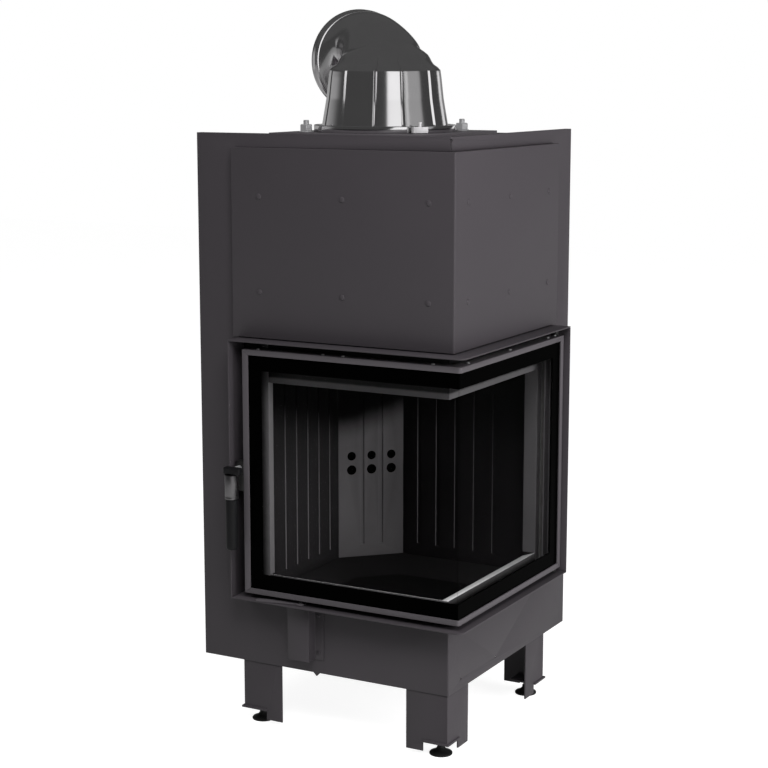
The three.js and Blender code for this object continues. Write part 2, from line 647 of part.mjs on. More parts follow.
function buildLegs() {
  const low = -113;
  const top = 40;
  const notchTop = -92;
  const overhang = 4;
  for (const [name, { x, y, sx, sy }] of Object.entries(LEGS)) {
    const at = (...span) => spanBox(x, y, sx, sy, ...span);
    const angle = join(
      at(0, LEG_LIMB, 0, LEG_SHEET, low, top),
      at(0, LEG_SHEET, 0, LEG_LIMB, low, top));
    const notched = cut(angle, at(-1, 50, -1, 44, low - 1, notchTop));
    const plate = at(-overhang, 52, -overhang, 46, notchTop - 3, notchTop + 1);
    const footX = x + sx * FOOT_INSET;
    const footY = y + sy * FOOT_INSET;
    const leg = cut(join(notched, plate), upright(5.4, footX, footY, -130, -60, 16));
    addPart(`leg_${name}`, leg, 'casing');
    const foot = turned([
      [0, GROUND], [22, GROUND], [22, GROUND + 3], [13, GROUND + 3], [6, GROUND + 15], [5, GROUND + 15],
      [5, GROUND + 55], [0, GROUND + 55],
    ], footX, footY, 28);
    addPart(`foot_${name}`, foot, 'zinc');
  }
}

// ---- Fluted flue cone ----
const UP = new THREE.Vector3(0, 0, 1);
const heading = new THREE.Vector3(Math.cos(rad(HEADING)), Math.sin(rad(HEADING)), 0);
const across = new THREE.Vector3().crossVectors(UP, heading);

// Point in the flue's own upright plane: run along the outlet's heading, side across it, and height
function fluePoint(run, side, z) {
  return new THREE.Vector3(FLUE.x, FLUE.y, z).addScaledVector(heading, run).addScaledVector(across, side);
}

// Places a form built about the Z axis on the inclined seam
function onSeam(geometry) {
  const normal = heading.clone().multiplyScalar(Math.sin(rad(SEAM_TILT)));
  normal.addScaledVector(UP, Math.cos(rad(SEAM_TILT)));
  const forward = new THREE.Vector3().crossVectors(across, normal);
  const frame = new THREE.Matrix4().makeBasis(forward, across, normal);
  frame.setPosition(fluePoint(SEAM.offset, 0, SEAM.z));
  return geometry.applyMatrix4(frame);
}

// Ring of six wide and six narrow lobes at a height above the flue plate
function flutedRing([rise, radius, depth]) {
  const points = [];
  const place = (degrees, r) => points.push(new THREE.Vector3(
    FLUE.x + r * Math.cos(rad(degrees)), FLUE.y + r * Math.sin(rad(degrees)), PLATE_TOP + rise));
  for (let pair = 0; pair < 6; pair += 1) {
    const first = FACING - 9.6 + pair * 60;
    const second = FACING + 16.7 + pair * 60;
    for (const [valley, next, fills] of [[first, second, 2], [second, first + 60, 3]]) {
      place(valley, radius - depth);
      const [from, to] = [valley + 1.8, next - 1.8];
      for (let i = 0; i <= fills + 1; i += 1) place(from + (to - from) * i / (fills + 1), radius);
    }
  }
  return points;
}

// Rise above the flue plate, lobe radius and depth of the flutes, from the clamp ring to the dome's crown
const CONE = [
  [0.9, 120.5, 0.4], [8, 120.5, 0.4], [13, 119.6, 4], [62, 111.2, 5], [102, 106.8, 5], [115, 105, 5],
  [120, 100.4, 4], [126, 91.7, 3.5], [134, 86.2, 2.7], [144, 80.2, 1.5], [151, 71.7, 0.8], [158, 60.9, 0.4],
  [167, 48.5, 0.3], [174, 34, 0.2],
];
const CONE_BORE = [
  [0, -8], [111.5, -8], [111.5, 13], [97.5, 97], [96.8, 113.7], [94, 118], [85, 124], [80.3, 132.6],
  [75.5, 142.3], [67, 149.2], [53, 159], [45.5, 164.3], [32, 171], [0, 175],
];

function buildFlueCone() {
  const outer = loft(CONE.map(flutedRing));
  const flange = upright(127, FLUE.x, FLUE.y, PLATE_TOP + 0.9, PLATE_TOP + 5.2, 72);
  const inner = turned(CONE_BORE.map(([r, rise]) => [r, PLATE_TOP + rise]), FLUE.x, FLUE.y, 36);
  const above = (offset) => onSeam(new THREE.BoxGeometry(700, 700, 300).translate(0, 0, 150 + offset));
  const hole = onSeam(upright(SEAM.hole, 0, 0, -14, 14, 40));
  const cone = cut(join(outer, flange), above(-GAP / 2), cut(inner, above(-3.2)), hole);
  addPart('flue_cone', cone, 'chrome');
}

// ---- Turning elbow: round sections between the inclined seam and the upright outlet ----
// The throat lags behind the heel, so that no two sections cross.
const STATIONS = 10;
const THROAT_LAG = 2.2;
const HEEL_LEAD = 0.75;

function seamEnd(side) {
  const tilt = rad(SEAM_TILT);
  return [SEAM.offset + side * SEAM.r * Math.cos(tilt), SEAM.z - side * SEAM.r * Math.sin(tilt)];
}

function curveThrough(points) {
  return new THREE.CubicBezierCurve(...points.map(([run, z]) => new THREE.Vector2(run, z)));
}

// Point of a curve in the flue's plane, moved square to it: +1 to the curve's left, -1 to its right
function besideCurve(curve, s, side, distance) {
  const along = curve.getTangent(s);
  return curve.getPoint(s).add(new THREE.Vector2(-along.y, along.x).multiplyScalar(side * distance));
}

function section(low, high, halfWidth, sides = 40) {
  const middle = low.clone().add(high).multiplyScalar(0.5);
  const reach = high.clone().sub(low).multiplyScalar(0.5);
  const points = [];
  for (let i = 0; i < sides; i += 1) {
    const a = i / sides * Math.PI * 2;
    const c = Math.cos(a);
    points.push(fluePoint(middle.x + c * reach.x, halfWidth * Math.sin(a), middle.y + c * reach.y));
  }
  return points;
}

function outletRing(run, radius) {
  const low = new THREE.Vector2(run, OUTLET.z - radius);
  const high = new THREE.Vector2(run, OUTLET.z + radius);
  return section(low, high, radius);
}

function elbowSections(wall) {
  const throat = curveThrough([
    seamEnd(1), [112, PLATE_TOP + 103], [124, PLATE_TOP + 80], [OUTLET.run, OUTLET.z - OUTLET.r],
  ]);
  const heel = curveThrough([
    seamEnd(-1), [-44.3, PLATE_TOP + 187], [46, PLATE_TOP + 232], [OUTLET.run, OUTLET.z + OUTLET.r],
  ]);
  return Array.from({ length: STATIONS + 1 }, (_, i) => {
    const [early, late] = [(i / STATIONS) ** THROAT_LAG, (i / STATIONS) ** HEEL_LEAD];
    const radius = throat.getPoint(early).distanceTo(heel.getPoint(late)) / 2;
    return section(besideCurve(throat, early, 1, wall), besideCurve(heel, late, -1, wall), radius - wall);
  });
}

function buildElbow() {
  const tilt = rad(SEAM_TILT);
  const lift = heading.clone().multiplyScalar(Math.sin(tilt)).addScaledVector(UP, Math.cos(tilt));
  const shell = elbowSections(0);
  for (const point of shell[0]) point.addScaledVector(lift, GAP / 2);
  const bore = [...elbowSections(WALL), outletRing(OUTLET.end + 5, OUTLET.r - WALL)];
  const floor = onSeam(upright(SEAM.r + 4, 0, 0, -12, 3, 48));
  const collar = loft([
    outletRing(OUTLET.run - 2, OUTLET.rim - 1.5), outletRing(OUTLET.run, OUTLET.rim),
    outletRing(OUTLET.end - 1, OUTLET.rim), outletRing(OUTLET.end, OUTLET.rim - 1),
  ]);
  const socket = onSeam(upright(SEAM.hole - 1, 0, 0, -10, 2.5, 40));
  const throatHole = onSeam(upright(SEAM.hole - 4, 0, 0, -12, 12, 40));
  const elbow = cut(join(loft(shell), collar, socket), cut(loft(bore), floor), throatHole);
  addPart('flue_elbow', elbow, 'chrome');
}

buildCasing();
buildJacket();
buildFlueFittings();
buildChamber();
buildLinings();
buildSurround();
buildDoor();
buildHandle();
buildAirControl();
buildLegs();
buildFlueCone();
buildElbow();

const model = new THREE.Group();
model.name = 'corner_fireplace';
model.add(body);
model.updateMatrixWorld(true);

export default model;
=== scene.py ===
"""Looks of a corner fireplace insert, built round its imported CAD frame.

Lengths in the classes are millimetres in the body's own axes: X runs right from the left face, Y runs back
from the front face, and Z runs up from the body's bottom edge. "Proud" is the distance in front of the
front face, or to the right of the right face. to_frame() turns such points into the shared frame's metres.
"""

import logging
import math
from dataclasses import dataclass, field
from enum import Enum
from typing import Any, Callable, Iterable, Sequence

import bmesh
import bpy
import numpy as np
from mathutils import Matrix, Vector


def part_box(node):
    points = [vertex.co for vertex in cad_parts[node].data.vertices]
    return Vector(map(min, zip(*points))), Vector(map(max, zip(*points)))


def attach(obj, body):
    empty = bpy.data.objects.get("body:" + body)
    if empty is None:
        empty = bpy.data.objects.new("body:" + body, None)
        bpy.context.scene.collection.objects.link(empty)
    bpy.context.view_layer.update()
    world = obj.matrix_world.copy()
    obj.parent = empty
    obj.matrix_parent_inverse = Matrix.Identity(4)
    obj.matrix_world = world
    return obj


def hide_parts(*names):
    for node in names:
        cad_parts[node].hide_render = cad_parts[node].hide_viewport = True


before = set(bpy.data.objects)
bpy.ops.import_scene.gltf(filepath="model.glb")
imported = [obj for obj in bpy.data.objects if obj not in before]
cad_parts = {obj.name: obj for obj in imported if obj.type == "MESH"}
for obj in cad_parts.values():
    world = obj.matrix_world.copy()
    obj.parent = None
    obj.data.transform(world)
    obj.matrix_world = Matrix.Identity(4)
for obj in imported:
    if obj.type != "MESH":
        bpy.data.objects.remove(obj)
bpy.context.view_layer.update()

LOG = logging.getLogger("corner_fireplace")

# Width of the body, how far the surround stands out to its right, and where its own axes lie in the frame.
BODY_W = 526.0
STANDS_OUT = 50.0
ORIGIN = np.array([-(BODY_W + STANDS_OUT) / 2.0, -222.0, 122.0])
UP = np.array([0.0, 0.0, 1.0])
# X and Y of the flue's axis, and of the joint of left and corner lining, where the sooting and painted
# shade on the linings reach lowest.
FLUE_AXIS = np.array([255.0, 258.0])
DEEP_JOINT = np.array([115.0, 340.0])
# Compass angles from X towards Y: the one that the cone's valleys are counted from, and the elbow's heading.
FACING = -61.3
HEADING = 139.0

Colour = tuple[float, float, float]
# From faces' centres in body millimetres and their normals to True for each face that is picked.
Chooser = Callable[[np.ndarray, np.ndarray], np.ndarray]
Place = tuple[float, float, float]
# A lit part of the room: its compass angle, half width and soft edge in degrees, and its strength.
Sector = tuple[float, float, float, float]


class Finish(Enum):
    """The finishes of this object, each named as its material slot in the record."""

    CASING = "casing_paint"
    BLACK = "black_paint"
    CHAMBER = "chamber_steel"
    LINING = "lining"
    GLASS = "door_glass"
    ROPE = "rope"
    BRIGHT = "bright_steel"
    ZINC = "zinc"
    GRIP = "grip"


# ---- Points and meshes ----
def to_frame(points: np.ndarray) -> np.ndarray:
    """Body millimetres to the shared frame's metres: (point + origin) / 1000."""
    return (np.asarray(points, float) + ORIGIN) / 1000.0


def grid_faces(rows: int, columns: int, wrap_rows: bool = False) -> np.ndarray:
    """Quads of a grid of points whose last column joins the first.

    Args:
        rows: number of points along the first parameter.
        columns: number of points along the second parameter.
        wrap_rows: True where the last row joins the first.

    Returns:
        Array of shape (faces, 4) of point numbers.
    """
    i = np.arange(rows if wrap_rows else rows - 1)[:, None]
    left = np.arange(columns)[None, :]
    near, far = i * columns, ((i + 1) % rows) * columns
    right = (left + 1) % columns
    return np.stack([near + left, near + right, far + right, far + left], -1).reshape(-1, 4)


def capped(grid: np.ndarray) -> tuple[np.ndarray, np.ndarray]:
    """Closes a grid's first and last row, each with a fan to its own centre.

    Args:
        grid: array of shape (rows, columns, 3).

    Returns:
        The points and the quads; a triangle of a fan repeats its last point.
    """
    rows, columns = grid.shape[:2]
    points = np.concatenate([grid.reshape(-1, 3), grid[0].mean(0)[None], grid[-1].mean(0)[None]])
    j = np.arange(columns)
    k, base = (j + 1) % columns, (rows - 1) * columns
    start = np.stack([np.full(columns, rows * columns), k, j, j], -1)
    end = np.stack([np.full(columns, rows * columns + 1), base + j, base + k, base + k], -1)
    return points, np.concatenate([grid_faces(rows, columns), start, end])


def signed_volume(points: np.ndarray, faces: np.ndarray) -> float:
    """Volume of a closed quad mesh: a sixth of the sum of a . (b x c) over its triangles."""
    a, b, c, d = (points[faces[:, k]] for k in range(4))
    first = np.einsum("ij,ij->i", a, np.cross(b, c)).sum()
    second = np.einsum("ij,ij->i", a, np.cross(c, d)).sum()
    return float(first + second) / 6.0


def make_object(name: str, mesh: bpy.types.Mesh) -> bpy.types.Object:
    """Puts a mesh into the scene as an object at the origin."""
    made = bpy.data.objects.new(name, mesh)
    bpy.context.scene.collection.objects.link(made)
    return made


def mesh_object(name: str, points: np.ndarray, faces: np.ndarray, smooth: bool = True) -> bpy.types.Object:
    """Makes an object from points in body millimetres.

    Args:
        name: the piece's name.
        points: array of shape (points, 3) in body millimetres.
        faces: array of shape (faces, 4) of point numbers, where a triangle has one point twice.
        smooth: True for smooth shading.

    Returns:
        The new object.
    """
    mesh = bpy.data.meshes.new(name)
    mesh.from_pydata(to_frame(points).tolist(), [], [tuple(dict.fromkeys(f)) for f in faces.tolist()])
    mesh.validate()
    mesh.polygons.foreach_set("use_smooth", np.full(len(mesh.polygons), smooth))
    mesh.update()
    return make_object(name, mesh)


def grid_object(name: str, grid: np.ndarray, closed: bool = False) -> bpy.types.Object:
    """Closed surface through a grid of points, turned to face outwards by the sign of its volume.

    Args:
        name: the piece's name.
        grid: array of shape (rows, columns, 3) in body millimetres, whose last column joins the first.
        closed: True where the last row joins the first too; else both of these rows are capped.

    Returns:
        The new object.
    """
    points, faces = (grid.reshape(-1, 3), grid_faces(*grid.shape[:2], True)) if closed else capped(grid)
    if signed_volume(points, faces) < 0:
        faces = faces[:, ::-1]
    return mesh_object(name, points, faces)


def turned_rings(profile: Sequence[tuple[float, float]], sides: int) -> np.ndarray:
    """Rings of a turned form about Z: (r cos a, r sin a, z) for each (r, z) of the profile."""
    r, z = np.asarray(profile, float).T
    a = np.arange(sides) / sides * 2 * math.pi
    flat = np.stack([r[:, None] * np.cos(a), r[:, None] * np.sin(a)], -1)
    return np.concatenate([flat, np.repeat(z[:, None, None], sides, 1)], -1)


def stand_on(points: np.ndarray, spot: Sequence[float], facing: Sequence[float]) -> np.ndarray:
    """Carries points built about Z to a spot, with Z turned to the facing direction."""
    turn = np.array(Vector((0, 0, 1)).rotation_difference(Vector(facing)).to_matrix())
    return points @ turn.T + np.asarray(spot, float)


def repeated(
    name: str,
    profile: Sequence[tuple[float, float]],
    sides: int,
    spots: Sequence[tuple[Sequence[float], Sequence[float]]],
    smooth: bool = True,
) -> bpy.types.Object:
    """One object of equal turned heads, each capped at both ends.

    Args:
        name: the piece's name.
        profile: (radius, height) pairs from the seat up to the tip.
        sides: number of sides of each head.
        spots: (place, facing) of each head, in body millimetres.
        smooth: True for smooth shading.

    Returns:
        The new object.
    """
    head, faces = capped(turned_rings(profile, sides))
    points = np.concatenate([stand_on(head, spot, facing) for spot, facing in spots])
    every = np.concatenate([faces + number * len(head) for number in range(len(spots))])
    return mesh_object(name, points, every, smooth)


def soften(piece: bpy.types.Object, width: float, segments: int = 2) -> bpy.types.Object:
    """Rounds a piece's edges sharper than 35 degrees with a live Bevel, width in millimetres."""
    bevel = piece.modifiers.new("edges", "BEVEL")
    bevel.width = width / 1000.0
    bevel.segments = segments
    bevel.limit_method = "ANGLE"
    bevel.angle_limit = math.radians(35.0)
    bevel.harden_normals = True
    bevel.use_clamp_overlap = False
    return piece


def merged_copy(node: str, name: str) -> bpy.types.Object:
    """Copy of a CAD node's mesh with its corners merged and its flat faces joined."""
    form = bmesh.new()
    form.from_mesh(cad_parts[node].data)
    bmesh.ops.remove_doubles(form, verts=form.verts, dist=2e-6)
    bmesh.ops.dissolve_limit(
        form, angle_limit=math.radians(0.4), verts=form.verts, edges=form.edges, delimit=set()
    )
    mesh = bpy.data.meshes.new(name)
    form.to_mesh(mesh)
    form.free()
    mesh.polygons.foreach_set("use_smooth", np.full(len(mesh.polygons), True))
    mesh.update()
    return make_object(name, mesh)


# ---- Node trees ----
class Signal:
    """A socket that takes part in Python arithmetic; each operator adds one Math node."""

    def __init__(self, graph: "Graph", socket: bpy.types.NodeSocket) -> None:
        """Wraps an output socket of a graph."""
        self.graph = graph
        self.socket = socket

    def _math(self, operation: str, *values: "Signal | float") -> "Signal":
        """Adds a Math node for the operation on the values, in their order."""
        node = self.graph.node("ShaderNodeMath", {"operation": operation}, dict(enumerate(values)))
        return Signal(self.graph, node.outputs[0])

    def __add__(self, other: "Signal | float") -> "Signal":
        """self + other."""
        return self._math("ADD", self, other)

    def __radd__(self, other: float) -> "Signal":
        """other + self."""
        return self._math("ADD", other, self)

    def __sub__(self, other: "Signal | float") -> "Signal":
        """self - other."""
        return self._math("SUBTRACT", self, other)

    def __rsub__(self, other: float) -> "Signal":
        """other - self."""
        return self._math("SUBTRACT", other, self)

    def __mul__(self, other: "Signal | float") -> "Signal":
        """self * other."""
        return self._math("MULTIPLY", self, other)

    def __rmul__(self, other: float) -> "Signal":
        """other * self."""
        return self._math("MULTIPLY", other, self)

    def __truediv__(self, other: "Signal | float") -> "Signal":
        """self / other."""
        return self._math("DIVIDE", self, other)

    def __pow__(self, other: "Signal | float") -> "Signal":
        """self ** other."""
        return self._math("POWER", self, other)

    def step(self, low: float, high: float) -> "Signal":
        """Smooth step from 0 at low to 1 at high."""
        node = self.graph.node(
            "ShaderNodeMapRange",
            {"interpolation_type": "SMOOTHSTEP"},
            {"Value": self, "From Min": low, "From Max": high},
        )
        return Signal(self.graph, node.outputs[0])


class Graph:
    """Builds a node tree, one node at a time."""

    def __init__(self, tree: bpy.types.NodeTree) -> None:
        """Takes the tree to build in."""
        self.tree = tree

    def feed(self, socket: bpy.types.NodeSocket, value: Any) -> None:
        """Links a Signal to the socket, or sets the socket's own value."""
        if isinstance(value, Signal):
            self.tree.links.new(value.socket, socket)
        else:
            socket.default_value = value

    def node(
        self, kind: str, settings: dict[str, Any] | None = None, inputs: dict[Any, Any] | None = None
    ) -> bpy.types.Node:
        """Adds a node.

        Args:
            kind: the node's Blender type.
            settings: attributes set first, such as a Math node's operation.
            inputs: values or Signals by socket name or number.

        Returns:
            The new node.
        """
        made = self.tree.nodes.new(kind)
        for key, value in (settings or {}).items():
            setattr(made, key, value)
        for key, value in (inputs or {}).items():
            self.feed(made.inputs[key], value)
        return made

    def signal(self, kind: str, output: str) -> Signal:
        """Adds a node that takes nothing in, and returns one of its outputs."""
        return Signal(self, self.node(kind).outputs[output])

    def noise(self, where: Signal, scale: float, detail: float = 3.0, roughness: float = 0.55) -> Signal:
        """Noise from 0 to 1 at a place; scale is in repeats a metre."""
        inputs = {"Vector": where, "Scale": scale, "Detail": detail, "Roughness": roughness}
        return Signal(self, self.node("ShaderNodeTexNoise", {}, inputs).outputs[0])

    def stretched(self, where: Signal, scale: Sequence[float]) -> Signal:
        """A place with each axis scaled."""
        return Signal(self, self.node("ShaderNodeMapping", {}, {"Vector": where, "Scale": scale}).outputs[0])

    def axes(self, where: Signal) -> tuple[Signal, Signal, Signal]:
        """The three numbers of a vector."""
        node = self.node("ShaderNodeSeparateXYZ", {}, {0: where})
        return tuple(Signal(self, node.outputs[k]) for k in range(3))

    def scaled(self, colour: Sequence[float], factor: Signal) -> Signal:
        """A colour multiplied by a factor."""
        inputs = {0: tuple(colour), "Scale": factor}
        return Signal(self, self.node("ShaderNodeVectorMath", {"operation": "SCALE"}, inputs).outputs[0])

    def blend(self, factor: Signal, first: "Signal | Colour", second: "Signal | Colour") -> Signal:
        """Mix of two colours: first where the factor is 0, second where it is 1."""
        node = self.node("ShaderNodeMix", {"data_type": "RGBA"}, {0: factor})
        for number, colour in ((6, first), (7, second)):
            self.feed(node.inputs[number], colour if isinstance(colour, Signal) else (*colour, 1.0))
        return Signal(self, node.outputs[2])


class Surface(Graph):
    """A material round one Principled shader."""

    def __init__(self, name: str, constants: dict[str, Any]) -> None:
        """Makes the material and sets the shader's constant sockets."""
        self.material = bpy.data.materials.new(name)
        self.material.use_nodes = True
        super().__init__(self.material.node_tree)
        self.shader = self.tree.nodes["Principled BSDF"]
        for key, value in constants.items():
            self.shader.inputs[key].default_value = value

    def place(self) -> Signal:
        """Object coordinates, which are the shared frame's metres."""
        return self.signal("ShaderNodeTexCoord", "Object")

    def dress(self, **inputs: Any) -> None:
        """Feeds the shader's sockets; a name's underscore stands for a space."""
        for key, value in inputs.items():
            self.feed(self.shader.inputs[key.replace("_", " ")], value)

    def bump(self, height: Signal, distance_mm: float, strength: float = 1.0) -> None:
        """Feeds the shader's Normal from a height."""
        node = self.node(
            "ShaderNodeBump", {}, {"Height": height, "Distance": distance_mm / 1000.0, "Strength": strength}
        )
        self.feed(self.shader.inputs["Normal"], Signal(self, node.outputs[0]))


# ---- Finishes ----
@dataclass(frozen=True)
class SheetPaint:
    """Heat-proof paint sprayed on folded sheet: broad mottling, fine orange peel and small shine changes."""

    name: str
    colour: Colour
    roughness: float
    specular: float = 0.4
    mottle: float = 0.05
    peel: float = 0.12

    def material(self) -> bpy.types.Material:
        """Makes the material: colour * (1 + mottle * cloud + fine speckle)."""
        surface = Surface(self.name, {"Specular IOR Level": self.specular})
        where = surface.place()
        cloud = surface.noise(where, 5.5, 4.0, 0.6) - 0.5
        speckle = surface.noise(where, 650.0, 2.0, 0.6) - 0.5
        peel = surface.noise(where, 1300.0, 2.0, 0.5)
        shade = 1.0 + cloud * (2.0 * self.mottle) + speckle * (0.9 * self.mottle)
        surface.dress(
            Base_Color=surface.scaled(self.colour, shade),
            Roughness=self.roughness + cloud * 0.10 + speckle * 0.05,
        )
        surface.bump(peel, 0.02, self.peel)
        return surface.material


@dataclass(frozen=True)
class SootAndShadePlate:
    """Bare plate of the fire chamber, darkened in clouds that thicken upwards, partly by sooting and partly
    as painted shade.
    """

    name: str
    colour: Colour
    soot_and_shade: Colour
    darken_from: float
    darken_to: float

    def material(self) -> bpy.types.Material:
        """Makes the material: plate fades to near black, sooting and painted shade, between two heights given
        in body millimetres.
        """
        surface = Surface(self.name, {"Specular IOR Level": 0.25})
        where = surface.place()
        height = surface.axes(where)[2]
        cloud = surface.noise(where, 14.0, 4.0, 0.6)
        fine = surface.noise(where, 420.0, 3.0, 0.6)
        low, high = ((z + ORIGIN[2]) / 1000.0 for z in (self.darken_from, self.darken_to))
        # Near black upwards: sooting and painted shade together.
        darkening = (height + (cloud - 0.5) * 0.03).step(low, high)
        plate = surface.scaled(self.colour, 0.8 + cloud * 0.3 + fine * 0.12)
        surface.dress(Base_Color=surface.blend(darkening, plate, self.soot_and_shade), Roughness=0.52 + cloud * 0.2)
        surface.bump(fine, 0.08, 0.3)
        return surface.material


@dataclass(frozen=True)
class ShadeAndLightPlate:
    """Chamber plate painted dark on one side, as shade beside the print, and lighter towards its free edge,
    as painted light.
    """

    name: str
    colour: Colour
    dark: Colour
    axis: int
    dark_at: float
    light_at: float

    def material(self) -> bpy.types.Material:
        """Makes the material: dark to light along one body axis, between two places in body millimetres."""
        surface = Surface(self.name, {"Specular IOR Level": 0.15})
        where = surface.place()
        along = surface.axes(where)[self.axis]
        cloud = surface.noise(where, 60.0, 3.0, 0.6)
        fine = surface.noise(where, 700.0, 2.0, 0.6)
        start, stop = ((v + ORIGIN[self.axis]) / 1000.0 for v in (self.dark_at, self.light_at))
        # Share of the plate's own tone: 0 in the painted shade, 1 towards the lit free edge.
        lit_share = (along + (cloud - 0.5) * 0.002).step(start, stop)
        plate = surface.scaled(self.colour, 0.86 + cloud * 0.2 + fine * 0.08)
        surface.dress(Base_Color=surface.blend(lit_share, self.dark, plate), Roughness=0.48 + cloud * 0.16)
        surface.bump(fine, 0.04, 0.2)
        return surface.material


@dataclass(frozen=True)
class LiningBoard:
    """Dry pressed lining board: grains, faint pits, and darkening towards the top that is partly sooting and
    partly painted shade.
    """

    name: str
    colour: Colour
    soot_and_shade: Colour
    darken_from: float
    darken_to: float
    rise: float = 0.0
    grains: float = 0.16

    def material(self) -> bpy.types.Material:
        """Makes the material: grains over the board's colour, faded to near black between two heights by
        sooting and painted shade.

        The edge of the painted shade climbs away from the joint of the left and the corner lining: it is read
        at the height minus the rise times the level distance from that joint.
        """
        surface = Surface(self.name, {"Specular IOR Level": 0.12})
        where = surface.place()
        across, deep, height = surface.axes(where)
        cloud = surface.noise(where, 9.0, 4.0, 0.6)
        grain = surface.noise(where, 520.0, 3.0, 0.7)
        pits = surface.noise(where, 190.0, 2.0, 0.5).step(0.30, 0.42)
        low, high = ((z + ORIGIN[2]) / 1000.0 for z in (self.darken_from, self.darken_to))
        if self.rise:
            x, y = (float(v) / 1000.0 for v in DEEP_JOINT + ORIGIN[:2])
            away = ((across - x) * (across - x) + (deep - y) * (deep - y) + 1e-6) ** 0.5
            height = height - away * self.rise
        # Darker towards the top: sooting and painted shade together.
        darkening = (height + (cloud - 0.5) * 0.03).step(low, high)
        board = surface.scaled(self.colour, 0.84 + cloud * 0.24 + (grain - 0.5) * self.grains + pits * 0.06)
        surface.dress(Base_Color=surface.blend(darkening, board, self.soot_and_shade), Roughness=0.86 + grain * 0.1)
        surface.bump(grain + pits * 0.5, 0.25, 0.4)
        return surface.material


@dataclass(frozen=True)
class NearBlack:
    """Blackest coat: the ceramic print round the door glass, and painted shade deep in the air holes."""

    name: str
    colour: Colour = (0.0004, 0.0004, 0.0004)

    def material(self) -> bpy.types.Material:
        """Makes the material: near black with a faint grain, and almost no shine at any angle."""
        surface = Surface(self.name, {"Specular IOR Level": 0.004})
        grain = surface.noise(surface.place(), 900.0, 2.0, 0.5)
        surface.dress(
            Base_Color=surface.scaled(self.colour, 0.8 + grain * 0.4),
            Roughness=0.12 + grain * 0.06,
        )
        return surface.material


@dataclass(frozen=True)
class CeramicGlass:
    """Clear ceramic glass with the slight smoky tint of its kind and a faint haze."""

    name: str = "ceramic_glass"
    tint: Colour = (0.002, 0.002, 0.002)
    cover: float = 0.08

    def material(self) -> bpy.types.Material:
        """Makes the material: a thin smoky veil whose cover varies a little with the haze."""
        surface = Surface(self.name, {"Specular IOR Level": 0.015, "IOR": 1.45})
        haze = surface.noise(surface.place(), 6.0, 3.0, 0.5)
        surface.dress(
            Base_Color=surface.scaled(self.tint, 0.8 + haze * 0.4),
            Roughness=0.04 + haze * 0.03,
            Alpha=self.cover + haze * 0.05,
        )
        surface.material.surface_render_method = "BLENDED"
        return surface.material


@dataclass(frozen=True)
class PolishedSteel:
    """Polished stainless sheet with faint drawing marks that run up the piece."""

    name: str = "polished_steel"
    colour: Colour = (0.80, 0.79, 0.80)
    roughness: float = 0.10

    def material(self) -> bpy.types.Material:
        """Makes the material: streaks from noise squeezed sideways and stretched along Z."""
        surface = Surface(self.name, {"Metallic": 1.0})
        where = surface.place()
        streak = surface.noise(surface.stretched(where, (900.0, 900.0, 18.0)), 1.0, 3.0, 0.6)
        cloud = surface.noise(where, 30.0, 3.0, 0.5)
        surface.dress(
            Base_Color=surface.scaled(self.colour, 0.93 + cloud * 0.08 + streak * 0.05),
            Roughness=self.roughness + streak * 0.05 + cloud * 0.03,
        )
        surface.bump(streak, 0.004, 0.25)
        return surface.material


@dataclass(frozen=True)
class ZincPlate:
    """Bright zinc plating with the patchy bloom it takes in heat."""

    name: str = "zinc_plate"
    colour: Colour = (0.62, 0.62, 0.63)
    metal: float = 0.7

    def material(self) -> bpy.types.Material:
        """Makes the material: plating with cloudy shine and fine pits."""
        surface = Surface(self.name, {"Metallic": self.metal})
        where = surface.place()
        bloom = surface.noise(where, 120.0, 4.0, 0.6)
        fine = surface.noise(where, 1500.0, 2.0, 0.5)
        surface.dress(
            Base_Color=surface.scaled(self.colour, 0.84 + bloom * 0.26),
            Roughness=0.28 + bloom * 0.16,
        )
        surface.bump(fine, 0.02, 0.2)
        return surface.material


@dataclass(frozen=True)
class GripCoat:
    """Matt black plastic of the grip, finely grained."""

    name: str = "grip_coat"
    colour: Colour = (0.005, 0.005, 0.0055)

    def material(self) -> bpy.types.Material:
        """Makes the material: grain at half a millimetre over a near black."""
        surface = Surface(self.name, {"Specular IOR Level": 0.22})
        where = surface.place()
        grain = surface.noise(where, 1800.0, 2.0, 0.6)
        wear = surface.noise(where, 60.0, 3.0, 0.6)
        surface.dress(
            Base_Color=surface.scaled(self.colour, 0.8 + grain * 0.3 + wear * 0.2),
            Roughness=0.42 + wear * 0.12,
        )
        surface.bump(grain, 0.03, 0.4)
        return surface.material


@dataclass(frozen=True)
class WovenRope:
    """Glass-fibre sealing rope: a grey weave with loose fibres."""

    name: str = "woven_rope"
    colour: Colour = (0.070, 0.068, 0.066)

    def material(self) -> bpy.types.Material:
        """Makes the material: fibre speckle at about a millimetre."""
        surface = Surface(self.name, {"Specular IOR Level": 0.15, "Sheen Weight": 0.3})
        where = surface.place()
        fibre = surface.noise(where, 1100.0, 3.0, 0.7)
        soil = surface.noise(where, 40.0, 3.0, 0.6)
        surface.dress(
            Base_Color=surface.scaled(self.colour, 0.5 + fibre * 0.7 + soil * 0.3),
            Roughness=0.92 + soil * 0.06,
        )
        surface.bump(fibre, 0.3, 0.5)
        return surface.material


